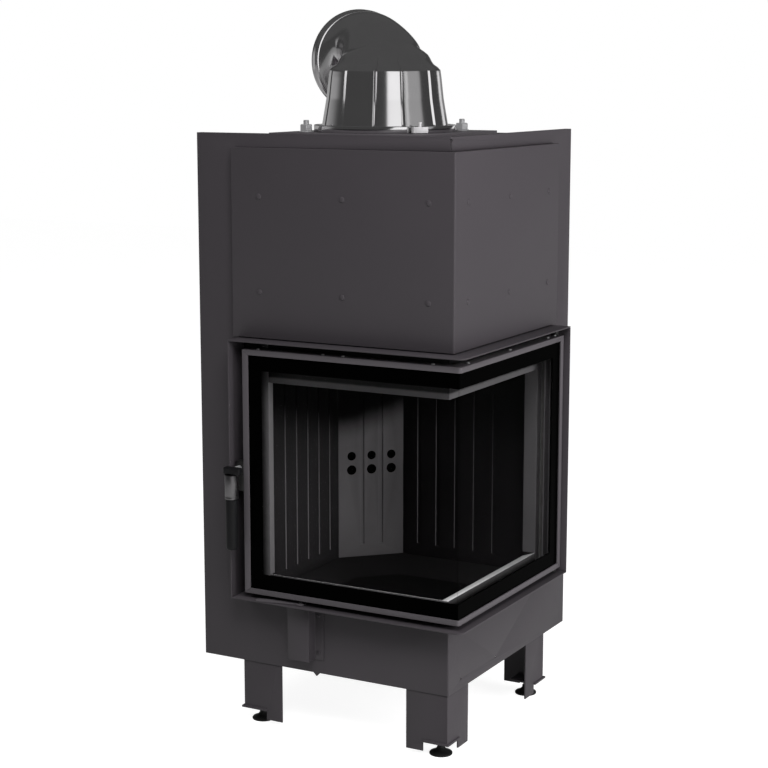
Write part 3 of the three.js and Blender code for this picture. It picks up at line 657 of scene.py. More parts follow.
class Workshop:
    """Keeps one material for each finish and gives it to pieces."""

    def __init__(self) -> None:
        """Makes every finish once."""
        # Near black for real sooting, and for painted shade in the chamber.
        soot_and_shade = (0.0014, 0.0013, 0.0014)
        bare = (0.085, 0.082, 0.085)
        # How fast the edge of the painted shade on the linings climbs away from the deep joint.
        climb = 0.32
        across, upright = 0, 2
        coats = {
            "casing": SheetPaint("casing_paint", (0.041, 0.0365, 0.041), 0.50),
            "black": SheetPaint("black_paint", (0.066, 0.060, 0.066), 0.46),
            # Lighter copy of the black paint: painted light on the right stile's inside.
            "lit_stile_inside": SheetPaint("lit_stile_inside", (0.130, 0.122, 0.130), 0.50),
            "dark_steel": SheetPaint("dark_steel", (0.012, 0.012, 0.012), 0.40),
            "foot": SheetPaint("foot_black", (0.008, 0.008, 0.008), 0.45),
            # Chamber plate that darkens upwards with sooting and painted shade.
            "chamber": SootAndShadePlate("plate_soot_and_shade", (0.118, 0.113, 0.118), soot_and_shade, 640.0, 700.0),
            # Near black shell behind the linings: painted shade that shows through the air holes, darker
            # still upwards.
            "shell": SootAndShadePlate("shell_painted_shade", (0.006, 0.006, 0.006), soot_and_shade, 440.0, 640.0),
            # Near black: painted shade deep in the corner lining's air holes.
            "soot_and_shade": NearBlack("air_hole_painted_shade"),
            # Sill: painted shade towards its bottom, beside the print.
            "sill": ShadeAndLightPlate("sill_plate", bare, soot_and_shade, upright, 160.0, 178.0),
            # Near white: a painted highlight on the sill's top faces.
            "lit_sill_top": ShadeAndLightPlate("sill_top_painted_highlight", (0.80, 0.79, 0.80), bare, upright, 120.0, 160.0),
            # Head: painted shade on its upper part, beside the print.
            "head": ShadeAndLightPlate(
                "head_plate_painted_shade", (0.105, 0.101, 0.105), (0.011, 0.0105, 0.011), upright, 556.0, 551.5),
            # Jamb: painted shade beside the print, painted light towards its free edge.
            "jamb": ShadeAndLightPlate("jamb_plate_shade_and_light", (0.15, 0.145, 0.15), soot_and_shade, across, 130.0, 156.0),
            # Lining boards darken towards the top with sooting and painted shade below the head.
            "board": LiningBoard("lining_board", (0.017, 0.0161, 0.017), soot_and_shade, 335.0, 425.0, climb),
            # Lighter copy of the lining board: painted light on the corner lining.
            "lit_corner_board": LiningBoard("corner_board_painted_light", (0.125, 0.119, 0.124), soot_and_shade, 352.0, 418.0, climb),
            # Darker copy of the lining board: painted shade on the back lining.
            "shaded_back_board": LiningBoard("shaded_back_board", (0.012, 0.0108, 0.012), soot_and_shade, 330.0, 500.0),
            # Lighter copies of the board: painted light on the groove sides turned to the opening.
            "lit_groove_left": LiningBoard("groove_painted_light_left", (0.15, 0.144, 0.15), soot_and_shade, 350.0, 425.0, climb),
            "lit_groove_back": LiningBoard("groove_painted_light_back", (0.16, 0.153, 0.16), soot_and_shade, 330.0, 500.0),
            # Lighter copy of the hearth board: painted light on the hearth's bevel.
            "lit_hearth_bevel": LiningBoard("hearth_bevel_painted_light", (0.013, 0.0124, 0.013), soot_and_shade, 420.0, 560.0),
            "hearth": LiningBoard("hearth_board", (0.005, 0.0048, 0.005), soot_and_shade, 420.0, 560.0),
            "border": NearBlack("printed_border"),
            "glass": CeramicGlass(),
            "bright": PolishedSteel(),
            "zinc": ZincPlate(),
            "cast": ZincPlate("cast_clamp", (0.52, 0.51, 0.52), 0.2),
            "sleeve": PolishedSteel("sleeve_steel", (0.20, 0.195, 0.20), 0.34),
            "grip": GripCoat(),
            "rope": WovenRope(),
        }
        self.made = {name: coat.material() for name, coat in coats.items()}

    def finish(
        self, piece: bpy.types.Object, coat: str, slot: Finish, body: str, replaced: Iterable[str] = ()
    ) -> None:
        """Dresses a piece and ties it to the frame.

        Args:
            piece: the object.
            coat: name of one of the shop's materials.
            slot: the record's slot that the piece takes its finish from; not used.
            body: the CAD body that it rides on.
            replaced: CAD nodes that it stands for.
        """
        piece.data.materials.clear()
        piece.data.materials.append(self.made[coat])
        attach(piece, body)
        if replaced:
            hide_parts(*replaced)
        LOG.info("%s: %d faces, rides on %s", piece.name, len(piece.data.polygons), body)


# ---- Sheet and plate pieces ----
@dataclass
class SheetWork:
    """Folded, welded and cast pieces that keep the CAD's forms, with their edges rounded.

    lowered gives two heights and the drop of the points between them. plates gives each node's coat, its
    slot, its body and the width of its rounded edges.
    """

    shop: Workshop
    groove: float = 2.5
    slab_skin: float = 1.0
    hole_low: float = 290.0
    hole_high: float = 345.0
    stile_face: float = 541.0
    stile_return: float = 552.0
    lowered: dict[str, tuple[float, float, float]] = field(default_factory=lambda: {
        "casing_left": (985.0, 1100.0, 10.0),
        "casing_back": (985.0, 1100.0, 10.0),
        "casing_top": (985.0, 1100.0, 8.5),
        "flue_plate": (900.0, 996.5, 8.5),
    })
    plates: dict[str, tuple[str, Finish, str, float]] = field(default_factory=lambda: {
        **{n: ("casing", Finish.CASING, "body", 0.7) for n in (
            "casing_wrap", "casing_left", "casing_back", "casing_top", "casing_base", "convection_jacket",
            "surround_top", "surround_bottom", "surround_left", "surround_right", "air_box", "air_spigot",
            "leg_front_right", "leg_front_left", "leg_rear_right", "leg_rear_left")},
        **{n: ("chamber", Finish.CHAMBER, "body", 0.8) for n in ("jamb_right", "flue_spigot")},
        **{n: ("shell", Finish.CHAMBER, "body", 0.8) for n in (
            "chamber_left", "chamber_back", "chamber_floor", "chamber_roof")},
        "sill": ("sill", Finish.CHAMBER, "body", 0.8),
        "head": ("head", Finish.CHAMBER, "body", 0.8),
        "jamb_left": ("jamb", Finish.CHAMBER, "body", 0.8),
        **{n: ("board", Finish.LINING, "body", 0.9) for n in (
            "lining_left", "lining_right", "baffle_lower", "baffle_upper")},
        "hearth_tray": ("hearth", Finish.LINING, "body", 0.9),
        "lining_corner": ("lit_corner_board", Finish.LINING, "body", 0.9),
        "lining_back": ("shaded_back_board", Finish.LINING, "body", 0.9),
        "flue_plate": ("black", Finish.BLACK, "body", 0.6),
        "clamp_ring": ("bright", Finish.BRIGHT, "body", 0.8),
        "clamp_block": ("cast", Finish.ZINC, "body", 0.6),
        **{n: ("dark_steel", Finish.ZINC, "body", 0.4) for n in (
            "hinge_lower", "hinge_upper", "latch_keeper")},
        **{n: ("black", Finish.BLACK, "door", 0.5) for n in (
            "door_rail_top", "door_rail_bottom", "door_stile_left", "door_stile_right")},
        "handle_bracket": ("dark_steel", Finish.ZINC, "door", 0.5),
        "handle_shaft": ("zinc", Finish.ZINC, "handle", 0.4),
        "air_lever": ("black", Finish.BLACK, "air_lever", 0.4),
    })

    def build(self) -> None:
        """Makes one rounded copy of each node and dresses it, with a second coat where it has one."""
        second = self.second_coats()
        for node, (coat, slot, body, width) in self.plates.items():
            piece = merged_copy(node, f"{node}_formed")
            if node in self.lowered:
                self.lower(piece, *self.lowered[node])
            soften(piece, width)
            self.shop.finish(piece, coat, slot, body, [node])
            if node in second:
                self.recoat(piece, *second[node])

    def lower(self, piece: bpy.types.Object, low: float, high: float, drop: float) -> None:
        """Takes down the points between two heights, which seats the top below the front and right sheets."""
        points = np.empty(len(piece.data.vertices) * 3)
        piece.data.vertices.foreach_get("co", points)
        points = points.reshape(-1, 3)
        height = points[:, 2] * 1000.0 - ORIGIN[2]
        points[:, 2] -= np.where((height > low) & (height < high), drop / 1000.0, 0.0)
        piece.data.vertices.foreach_set("co", points.ravel())
        piece.data.update()

    def recoat(self, piece: bpy.types.Object, coat: str, chosen: Chooser) -> None:
        """Gives some of a piece's faces a second coat.

        Args:
            piece: the piece, already dressed.
            coat: name of the second coat.
            chosen: picks the faces that take it.
        """
        count = len(piece.data.polygons)
        centres, normals = np.empty(count * 3), np.empty(count * 3)
        piece.data.polygons.foreach_get("center", centres)
        piece.data.polygons.foreach_get("normal", normals)
        centres = centres.reshape(-1, 3) * 1000.0 - ORIGIN
        piece.data.materials.append(self.shop.made[coat])
        marked = chosen(centres, normals.reshape(-1, 3)).astype(np.int32)
        piece.data.polygons.foreach_set("material_index", marked)
        piece.data.update()

    def second_coats(self) -> dict[str, tuple[str, Chooser]]:
        """Second coat of each node that has one, and the faces that take it.

        A groove's side turned to the room takes painted light; its centre lies behind the slab's front face,
        by less than the groove's depth. An air hole's faces, which take painted shade, lie deeper than the
        front of their slab, at the holes' height. The right stile's inside, a lighter copy of its paint as
        painted light, is what shows through the side glass, beside the print. The sill's top takes a painted
        highlight, and the hearth's bevel painted light.
        """
        drill = np.array([1.0, -1.0, 0.0]) / math.sqrt(2)
        return {
            "sill": ("lit_sill_top", lambda at, normal: normal[:, 2] > 0.5),
            "hearth_tray": ("lit_hearth_bevel", lambda at, normal: (normal[:, 2] > 0.3) & (normal[:, 2] < 0.97)),
            "lining_left": ("lit_groove_left", lambda at, normal: (
                (normal[:, 1] < -0.5) & (at[:, 0] > at[:, 0].max() - self.groove))),
            "lining_back": ("lit_groove_back", lambda at, normal: (
                (normal[:, 0] > 0.5) & (at[:, 1] < at[:, 1].min() + self.groove))),
            "lining_corner": ("soot_and_shade", lambda at, normal: (
                (at @ drill < (at @ drill).max() - self.slab_skin)
                & (at[:, 2] > self.hole_low) & (at[:, 2] < self.hole_high))),
            "door_stile_right": ("lit_stile_inside", lambda at, normal: (
                (at[:, 0] < self.stile_face) | (at[:, 0] < self.stile_return) & (normal[:, 1] < -0.5))),
        }


# ---- Flue outlet ----
@dataclass
class FlueOutlet:
    """Fluted cone, its turning elbow, and the nuts that hold the flue plate.

    cone holds the height, the lobes' radius and the flutes' room up the outside, of which a valley takes
    the share flute_share, and bore the height and the radius up the inside. Each is read at its number of
    samples, and the cone's radius is smoothed over a bell of them. Runs go along the heading from the
    flue's axis. The throat and the heel are the elbow's inner and outer curves, each with two control
    points as (run, height).
    """

    shop: Workshop
    seam_offset: float = 24.2
    seam_z: float = 1132.5
    seam_r: float = 78.0
    hole_r: float = 71.0
    tilt: float = 24.1
    outlet_run: float = 119.0
    outlet_end: float = 145.0
    outlet_z: float = 1131.0
    neck_r: float = 92.5
    outlet_r: float = 98.2
    rim_r: float = 99.2
    wall: float = 3.0
    gap_under: float = 0.3
    gap_over: float = 0.15
    plate_top: float = 998.3
    stud_reach: float = 109.0
    throat: tuple[tuple[float, float], ...] = ((111.0, 1103.0), (113.0, 1090.0))
    throat_lag: float = 3.0
    heel: tuple[tuple[float, float], ...] = ((-44.0, 1187.0), (45.0, 1231.0))
    heel_lead: float = 0.6
    flute_half: float = 1.85
    flute_share: float = 0.75
    flute_edge: float = 2.0
    lobe_spacing: float = 1.2
    cone_samples: int = 900
    bore_samples: int = 500
    bell: int = 19
    cone_rows: int = 76
    bore_rows: int = 26
    elbow_rows: int = 60
    elbow_bore_rows: int = 24
    elbow_sides: int = 160
    cone: tuple[tuple[float, float, float], ...] = (
        (998.9, 120.5, 0.4), (1006.0, 120.5, 0.4), (1011.0, 119.6, 4.0), (1060.0, 111.2, 5.0),
        (1100.0, 106.8, 5.0), (1113.0, 105.0, 5.0), (1118.0, 100.4, 4.0), (1124.0, 91.7, 3.5),
        (1130.0, 87.8, 3.0), (1136.0, 84.9, 2.5), (1142.0, 80.8, 1.7), (1149.0, 71.7, 0.8),
        (1156.0, 60.9, 0.4), (1165.0, 48.5, 0.3), (1172.0, 34.0, 0.2),
    )
    bore: tuple[tuple[float, float], ...] = (
        (998.9, 111.5), (1011.0, 111.5), (1095.0, 97.5), (1111.7, 96.8), (1116.0, 94.0), (1122.0, 85.0),
        (1130.6, 80.3), (1140.3, 75.5), (1147.2, 67.0), (1157.0, 53.0), (1162.3, 45.5), (1169.0, 32.0),
    )

    def __post_init__(self) -> None:
        """Works out the flue's own directions: along the heading, across it, and the seam's frame."""
        turn, lean = math.radians(HEADING), math.radians(self.tilt)
        self.ahead = np.array([math.cos(turn), math.sin(turn), 0.0])
        self.across = np.cross(UP, self.ahead)
        self.normal = self.ahead * math.sin(lean) + UP * math.cos(lean)
        self.forward = np.cross(self.across, self.normal)
        self.axis = np.array([*FLUE_AXIS, 0.0])
        self.seam = self.axis + self.ahead * self.seam_offset + UP * self.seam_z

    def seam_ring(self, radius: float, lift: float, angle: np.ndarray) -> np.ndarray:
        """Circle on the seam: centre - forward r cos a + across r sin a + normal lift."""
        return (
            self.seam
            - self.forward * (radius * np.cos(angle))[:, None]
            + self.across * (radius * np.sin(angle))[:, None]
            + self.normal * lift
        )

    @staticmethod
    def valley_places() -> list[float]:
        """Angles of the twelve valleys, in degrees: two in every sixth of a turn, 26.3 degrees apart."""
        return sorted((FACING + shift + 60.0 * k) % 360.0 for k in range(6) for shift in (-9.6, 16.7))

    def valleys(self, degrees: np.ndarray) -> np.ndarray:
        """Share of the flutes' room at each angle: a V over each valley, flute_share at its centre."""
        deep = np.zeros_like(degrees)
        for centre in self.valley_places():
            away = np.abs((degrees - centre + 180.0) % 360.0 - 180.0)
            deep = np.maximum(deep, np.clip(1.0 - away / self.flute_half, 0.0, 1.0))
        return deep * self.flute_share

    def flute_angles(self) -> np.ndarray:
        """Angles of the cone's grid in degrees: close together over each valley, evenly spaced between."""
        edge = self.flute_edge
        side = np.array([0.15, 0.9, 1.7, self.flute_half, edge])
        near = np.concatenate([-side[::-1], [0.0], side])
        places = self.valley_places()
        angles = []
        for here, after in zip(places, places[1:] + [places[0] + 360.0]):
            count = round((after - here - 2 * edge) / self.lobe_spacing)
            angles += [here + near, np.linspace(here + edge, after - edge, count + 1)[1:-1]]
        return np.concatenate(angles)

    def climb(
        self, z: np.ndarray, radius: np.ndarray, out: np.ndarray, limit: float, rows: int
    ) -> np.ndarray:
        """Rows of points up a profile, where each angle ends on a plane parallel to the seam.

        A point at angle a and fraction v is r(s) out from the axis at height z(s), where s is v times the
        place at which that angle's profile meets the plane.

        Args:
            z: heights of the profile.
            radius: its radius at each angle and height.
            out: unit vector of each angle.
            limit: distance of the plane above the seam.
            rows: number of rows.

        Returns:
            Array of shape (rows, angles, 3).
        """
        skin = self.axis + out[:, None] * radius[..., None] + z[:, None] * UP
        stop = np.argmax((skin - self.seam) @ self.normal > limit, 1)
        steps = np.arange(len(z))
        place = np.linspace(0.0, 1.0, rows)[:, None] * stop[None]
        at = np.stack([np.interp(place[:, k], steps, radius[k]) for k in range(len(out))], -1)
        return self.axis + out * at[..., None] + np.interp(place, steps, z)[..., None] * UP

    @staticmethod
    def along(table: np.ndarray, count: int) -> list[np.ndarray]:
        """Columns of a profile's table, read at equal steps of the way along its (height, radius) line."""
        way = np.concatenate([[0.0], np.cumsum(np.hypot(*np.diff(table[:, :2], axis=0).T))])
        return [np.interp(np.linspace(0.0, way[-1], count), way, column) for column in table.T]

    def build_cone(self) -> None:
        """Cone as one closed skin: up the fluted outside, over the seam's deck, and down the plain inside."""
        a = np.radians(self.flute_angles())
        sides = len(a)
        out = np.stack([np.cos(a), np.sin(a), np.zeros(sides)], -1)
        z, big, deep = self.along(np.array(self.cone), self.cone_samples)
        bell = np.hanning(self.bell)
        big = np.convolve(np.pad(big, self.bell // 2, mode="edge"), bell / bell.sum(), "valid")
        fluted = big - deep * self.valleys(np.degrees(a))[:, None]
        outside = self.climb(z, fluted, out, -self.gap_under, self.cone_rows)
        z, small = self.along(np.array(self.bore), self.bore_samples)
        plain = np.repeat(small[None], sides, 0)
        inside = self.climb(z, plain, out, -self.wall - 0.2, self.bore_rows)[::-1]

        def spin(edge: np.ndarray) -> np.ndarray:
            """Each point's angle about the seam's centre."""
            return np.arctan2((edge - self.seam) @ self.across, -((edge - self.seam) @ self.forward))

        # A row close below the seam's edge keeps the edge crisp. The flange stands for the first four rows.
        near_edge = outside[-1] * 0.9 + outside[-2] * 0.1
        outside = np.concatenate([outside[:-1], near_edge[None], outside[-1:]])
        edge, root = outside[-1], inside[0]
        lip = self.seam_ring(self.hole_r, -self.gap_under, spin(edge))
        under = self.seam_ring(self.hole_r, -self.wall, spin(edge))
        deck = [edge * (1 - w) + lip * w for w in (0.04, 0.3, 0.6, 0.97, 1.0)]
        shelf = [under * (1 - w) + root * w for w in (0.0, 0.05, 0.5, 0.95)]
        flange = [self.axis + out * r + UP * h for r, h in (
            (112.5, 998.9), (127.0, 998.9), (127.0, 1002.6), (126.4, 1003.2), (121.2, 1003.2))]
        grid = np.concatenate([np.stack(flange), outside[4:], np.stack(deck), np.stack(shelf), inside])
        piece = grid_object("flue_cone_skin", grid, closed=True)
        self.shop.finish(piece, "bright", Finish.BRIGHT, "flue_cone", ["flue_cone"])

    def section(self, low: np.ndarray, high: np.ndarray, half: float, angle: np.ndarray) -> np.ndarray:
        """Oval through its low and high ends, each (run, height), with its half width across the heading."""
        middle, reach = (low + high) / 2, (high - low) / 2
        run = middle[0] + reach[0] * np.cos(angle)
        rise = middle[1] + reach[1] * np.cos(angle)
        flat = self.axis + self.ahead * run[:, None] + self.across * (half * np.sin(angle))[:, None]
        return flat + rise[:, None] * UP

    def outlet_ring(self, run: float, radius: float, angle: np.ndarray) -> np.ndarray:
        """Upright circle at a run along the heading."""
        ends = (np.array([run, self.outlet_z - radius]), np.array([run, self.outlet_z + radius]))
        return self.section(*ends, radius, angle)

    def elbow_sections(self, count: int, wall: float, angle: np.ndarray) -> list[np.ndarray]:
        """Sections between the seam and the outlet, each end moved square to its curve by the wall.

        The throat's end is at t = s ** lag and the heel's at t = s ** lead of a cubic curve
        (1-t)^3 P0 + 3t(1-t)^2 P1 + 3t^2(1-t) P2 + t^3 P3.
        """
        lean = math.radians(self.tilt)
        reach, drop = self.seam_r * math.cos(lean), self.seam_r * math.sin(lean)
        throat = np.array([
            (self.seam_offset + reach, self.seam_z - drop), *self.throat,
            (self.outlet_run, self.outlet_z - self.neck_r)])
        heel = np.array([
            (self.seam_offset - reach, self.seam_z + drop), *self.heel,
            (self.outlet_run, self.outlet_z + self.neck_r)])
        s = np.linspace(0.0, 1.0, count)
        ends = []
        for points, t, side in ((throat, s ** self.throat_lag, 1.0), (heel, s ** self.heel_lead, -1.0)):
            u = 1.0 - t
            at = np.stack([u ** 3, 3 * t * u ** 2, 3 * t * t * u, t ** 3], -1) @ points
            run = np.stack([u * u, 2 * t * u, t * t], -1) @ np.diff(points, axis=0)
            run /= np.linalg.norm(run, axis=1)[:, None]
            ends.append((at, at + np.stack([-run[:, 1], run[:, 0]], -1) * side * wall))
        half = np.linalg.norm(ends[0][0] - ends[1][0], axis=1) / 2 - wall
        return [self.section(low, high, w, angle) for low, high, w in zip(ends[0][1], ends[1][1], half)]

    def build_elbow(self) -> None:
        """Elbow as one closed skin: outside, rolled collar, bore, and the socket that turns in the cone."""
        angle = np.arange(self.elbow_sides) / self.elbow_sides * 2 * math.pi
        shell = self.elbow_sections(self.elbow_rows, 0.0, angle)
        shell[0] = shell[0] + self.normal * self.gap_over
        shell.insert(1, shell[0] * 0.94 + shell[1] * 0.06)
        start, end, rim, neck, skin = self.outlet_run, self.outlet_end, self.rim_r, self.neck_r, self.outlet_r
        inner = skin - self.wall
        collar = [self.outlet_ring(run, r, angle) for run, r in (
            (start + 0.15, neck + 0.4), (start + 0.3, neck + 1.1), (start + 0.5, neck + 2.3),
            (start + 1.0, neck + 3.5), (start + 1.8, neck + 4.4), (start + 2.8, neck + 4.7),
            (start + 3.8, neck + 4.4), (start + 4.5, neck + 3.9), (start + 5.2, neck + 3.8),
            (start + 6.2, neck + 4.4), (start + 7.5, neck + 5.3), (start + 9.5, skin),
            (end - 6.0, skin), (end - 5.0, skin + 0.1), (end - 4.0, skin + 0.6), (end - 3.0, rim),
            (end - 1.4, rim), (end - 0.4, rim - 0.4), (end, rim - 1.3), (end - 0.2, rim - 2.6),
            (end - 1.0, inner + 0.4), (end - 3.0, inner), (start + 11.0, inner), (start + 6.0, inner))]
        # The bore's rows end a wall above the seam.
        floor = []
        for ring in self.elbow_sections(self.elbow_bore_rows, self.wall, angle)[::-1]:
            short = np.clip(self.wall - (ring - self.seam) @ self.normal, 0.0, None)
            floor.append(ring + self.normal * short[:, None])
        hole = self.hole_r - 4.0
        socket = [self.seam_ring(r, lift, angle) for r, lift in (
            (self.seam_r - 3.4, 3.0), (hole + 0.3, 3.0), (hole, 2.4), (hole, -9.8), (hole + 0.4, -10.0),
            (hole + 2.8, -10.0), (hole + 3.0, -9.8), (hole + 3.0, 0.1), (hole + 3.6, self.gap_over),
            (self.seam_r - 0.5, self.gap_over))]
        piece = grid_object("flue_elbow_skin", np.stack([*shell, *collar, *floor, *socket]), closed=True)
        self.shop.finish(piece, "bright", Finish.BRIGHT, "flue_elbow", ["flue_elbow"])

    def build_nuts(self) -> None:
        """Washer, hexagon nut with turned corners and threaded bolt end, at three corners of the plate."""
        for name, right, back in (("stud_left", -1, -1), ("stud_right", 1, 1), ("stud_rear", -1, 1)):
            corner = FLUE_AXIS + self.stud_reach * np.array([right, back])
            seat = [((*corner, self.plate_top), UP)]
            rim = [(6, 0), (13.4, 0), (14, 0.4), (14, 1.6), (13.4, 2.0), (6, 2.0)]
            washer = repeated(f"{name}_washer", rim, 40, seat)
            flats = [(6, 2.0), (11.2, 2.0), (12.5, 2.9), (12.5, 13.4), (11.4, 14.6), (6, 14.6)]
            nut = repeated(f"{name}_nut", flats, 6, seat, smooth=False)
            soften(nut, 0.5)
            turns = np.arange(0.0, 7.6, 0.5)
            thread = [(5.5 - 0.5 * (k % 2), 14.2 + t) for k, t in enumerate(turns)]
            bolt = repeated(f"{name}_bolt", [(5.0, 10.0), *thread, (4.4, 22.4)], 28, seat)
            self.shop.finish(washer, "zinc", Finish.ZINC, "body")
            self.shop.finish(bolt, "zinc", Finish.ZINC, "body")
            self.shop.finish(nut, "zinc", Finish.ZINC, "body", [name])

    def build(self) -> None:
        """Makes the cone, the elbow and the nuts."""
        self.build_cone()
        self.build_elbow()
        self.build_nuts()


# ---- Door glass and seal ----
@dataclass
class DoorGlass:
    """Two panes with a black printed border, and the twisted rope behind the frame."""

    shop: Workshop
    start: float = 121.8
    end: float = 405.2
    low: float = 150.8
    high: float = 606.2
    outer: float = 36.7
    inner: float = 33.1
    clear_x: float = 156.0
    clear_y: float = 364.0
    clear_low: float = 186.0
    clear_high: float = 571.0
    mitre_gap: float = 0.15
    seal_proud: float = 4.0
    seal_low: float = 160.0
    seal_high: float = 597.0
    seal_x: float = 130.0
    seal_y: float = 397.0
    seal_bend: float = 7.0
    seal_r: float = 4.9
    strand: float = 0.45
    lay: float = 14.0
    seal_rows: int = 900
    seal_sides: int = 18

    def pane(
        self,
        name: str,
        node: str,
        across: Sequence[float],
        clear: int,
        place: Callable[[float, float], tuple[float, float]],
    ) -> None:
        """One pane as a closed slab whose faces are split where the print ends.

        Args:
            name: the piece's name.
            node: the CAD node it stands for.
            across: three stations along the pane: its two ends, and where the print ends between them.
            clear: number of the column that has no print, 0 or 1, which runs to the glazed corner.
            place: (X, Y) of a station at a proud distance.
        """
        heights = [self.low, self.clear_low, self.clear_high, self.high]
        points = [(*place(u, t), z) for t in (self.outer, self.inner) for z in heights for u in across]
        behind = len(points) // 2
        faces, coats = [], []
        for side in (0, behind):
            for row in range(3):
                for column in range(2):
                    a = side + row * 3 + column
                    quad = (a, a + 1, a + 4, a + 3)
                    faces.append(quad if side == 0 else quad[::-1])
                    coats.append(row == 1 and column == clear)
        # The numbers of the points round the rim, and of the two that bound the clear edge at the corner.
        rim = [0, 1, 2, 5, 8, 11, 10, 9, 6, 3]
        corner = {5, 8} if clear == 1 else {3, 6}
        for a, b in zip(rim, rim[1:] + rim[:1]):
            faces.append((b, a, a + behind, b + behind))
            coats.append({a, b} == corner)
        form, quads = np.array(points), np.array(faces)
        if signed_volume(form, quads) < 0:
            quads = quads[:, ::-1]
        pane = mesh_object(name, form, quads, smooth=False)
        self.shop.finish(pane, "border", Finish.GLASS, "door", [node])
        pane.data.materials.append(self.shop.made["glass"])
        pane.data.polygons.foreach_set("material_index", np.array(coats, dtype=np.int32))
        pane.data.update()

    def build_panes(self) -> None:
        """Makes the front and the side pane, mitred at the corner, where the clear glass of both meets."""
        self.pane(
            "pane_front", "glass_front", [self.start, self.clear_x, BODY_W], 1,
            lambda u, t: (u if u < BODY_W else BODY_W + t - self.mitre_gap, -t),
        )
        self.pane(
            "pane_side", "glass_side", [0.0, self.clear_y, self.end], 0,
            lambda u, t: (BODY_W + t, u if u > 0.0 else -t + self.mitre_gap),
        )

    def build_seal(self) -> None:
        """Rope of three strands round a loop with rounded corners.

        Its radius at angle a, a way w along it, is seal_r + strand cos(3 (a - w / lay)).
        """
        x0, x1, y0, y1 = self.seal_x, BODY_W + self.seal_proud, -self.seal_proud, self.seal_y
        low, high = self.seal_low, self.seal_high
        stops = [(x0, y0, low), (x1, y0, low), (x1, y1, low), (x1, y1, high), (x1, y0, high), (x0, y0, high)]
        s = np.linspace(0.0, 1.0, 9)[:, None]
        path = []
        for here, before, after in zip(stops, stops[-1:] + stops[:-1], stops[1:] + stops[:1]):
            here, before, after = (np.array(p) for p in (here, before, after))
            back = (before - here) / np.linalg.norm(before - here)
            on = (after - here) / np.linalg.norm(after - here)
            path.append(here + back * self.seal_bend * (1 - s) ** 2 + on * self.seal_bend * s ** 2)
        rough = np.concatenate([*path, path[0][:1]])
        length = np.concatenate([[0.0], np.cumsum(np.linalg.norm(np.diff(rough, axis=0), axis=1))])
        at = np.arange(self.seal_rows) / self.seal_rows * length[-1]
        line = np.stack([np.interp(at, length, rough[:, k]) for k in range(3)], -1)
        tangent = np.roll(line, -1, 0) - np.roll(line, 1, 0)
        tangent /= np.linalg.norm(tangent, axis=1)[:, None]
        face = np.array([1.0, -1.0, 0.0]) / math.sqrt(2)
        first = face - tangent * (tangent @ face)[:, None]
        first /= np.linalg.norm(first, axis=1)[:, None]
        second = np.cross(tangent, first)
        a = np.arange(self.seal_sides) / self.seal_sides * 2 * math.pi
        radius = self.seal_r + self.strand * np.cos(3 * (a[None] - (at / self.lay)[:, None]))
        grid = (
            line[:, None]
            + first[:, None] * (radius * np.cos(a))[..., None]
            + second[:, None] * (radius * np.sin(a))[..., None]
        )
        piece = grid_object("door_seal_rope", grid, closed=True)
        self.shop.finish(piece, "rope", Finish.ROPE, "door", ["door_seal"])

    def build(self) -> None:
        """Makes the panes and the seal."""
        self.build_panes()
        self.build_seal()


# ---- Handle ----
@dataclass
class DoorHandle:
    """Hanging handle: rounded hub, bright sleeve and dark grip about an upright line."""

    shop: Workshop
    x: float = 108.6
    y: float = -65.0
    sides: int = 48
    hub_round: float = 3.2
    hub_steps: int = 4

    def turn(
        self, name: str, profile: Sequence[tuple[float, float]], coat: str, slot: Finish, node: str
    ) -> None:
        """Turns a profile of (radius, height) about the handle's line and closes its ends."""
        grid = turned_rings(profile, self.sides) + np.array([self.x, self.y, 0.0])
        self.shop.finish(grid_object(name, grid), coat, slot, "handle", [node])

    def build(self) -> None:
        """Makes the hub, the sleeve and the grip."""
        hub = soften(merged_copy("handle_hub", "handle_hub_block"), self.hub_round, self.hub_steps)
        self.shop.finish(hub, "grip", Finish.GRIP, "handle", ["handle_hub"])
        self.turn("handle_sleeve_tube", [
            (11.0, 332.0), (12.1, 332.1), (12.5, 332.7), (12.5, 336.0), (12.1, 336.5), (12.1, 337.5),
            (12.5, 338.0), (12.5, 376.8), (12.1, 377.5), (11.0, 377.7),
        ], "sleeve", Finish.BRIGHT, "handle_sleeve")
        self.turn("handle_grip_rod", [
            (3.0, 235.0), (7.5, 235.3), (10.0, 236.6), (11.2, 239.0), (11.5, 242.0), (11.5, 250.0),
            (11.5, 290.0), (11.5, 329.0), (11.1, 331.0), (10.0, 331.7),
        ], "grip", Finish.GRIP, "handle_grip")


# ---- Feet ----
@dataclass
class ScrewFeet:
    """Cupped foot pads on threaded rods, one under each leg."""

    shop: Workshop
    rod_r: float = 5.0
    thread_depth: float = 0.55
    pitch: float = 1.5
    thread_from: float = 18.6
    sides: int = 44
    pad: tuple[tuple[float, float], ...] = (
        (19.0, 0.0), (21.0, 0.3), (21.5, 1.4), (21.3, 3.0), (20.2, 4.2), (15.5, 6.0), (10.8, 8.8),
        (8.0, 11.8), (6.8, 14.6), (6.6, 17.2), (5.8, 17.9),
    )

    def build(self) -> None:
        """Makes each foot as one turned form on its CAD foot's axis: pad, neck, thread and tip."""
        for name in (f"foot_{end}_{side}" for side in ("left", "right") for end in ("front", "rear")):
            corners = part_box(name)
            low, high = (corner.z * 1000.0 - ORIGIN[2] for corner in corners)
            centre = (corners[0] + corners[1]) * 500.0
            spot = np.array([centre.x - ORIGIN[0], centre.y - ORIGIN[1], 0.0])
            turns = np.arange(low + self.thread_from, high - 1.0, self.pitch / 2)
            thread = [(self.rod_r - self.thread_depth * (k % 2), z) for k, z in enumerate(turns)]
            profile = [*((r, low + rise) for r, rise in self.pad), *thread, (self.rod_r - 1.0, high)]
            piece = grid_object(f"{name}_pad", turned_rings(profile, self.sides) + spot)
            self.shop.finish(piece, "foot", Finish.ZINC, name, [name])


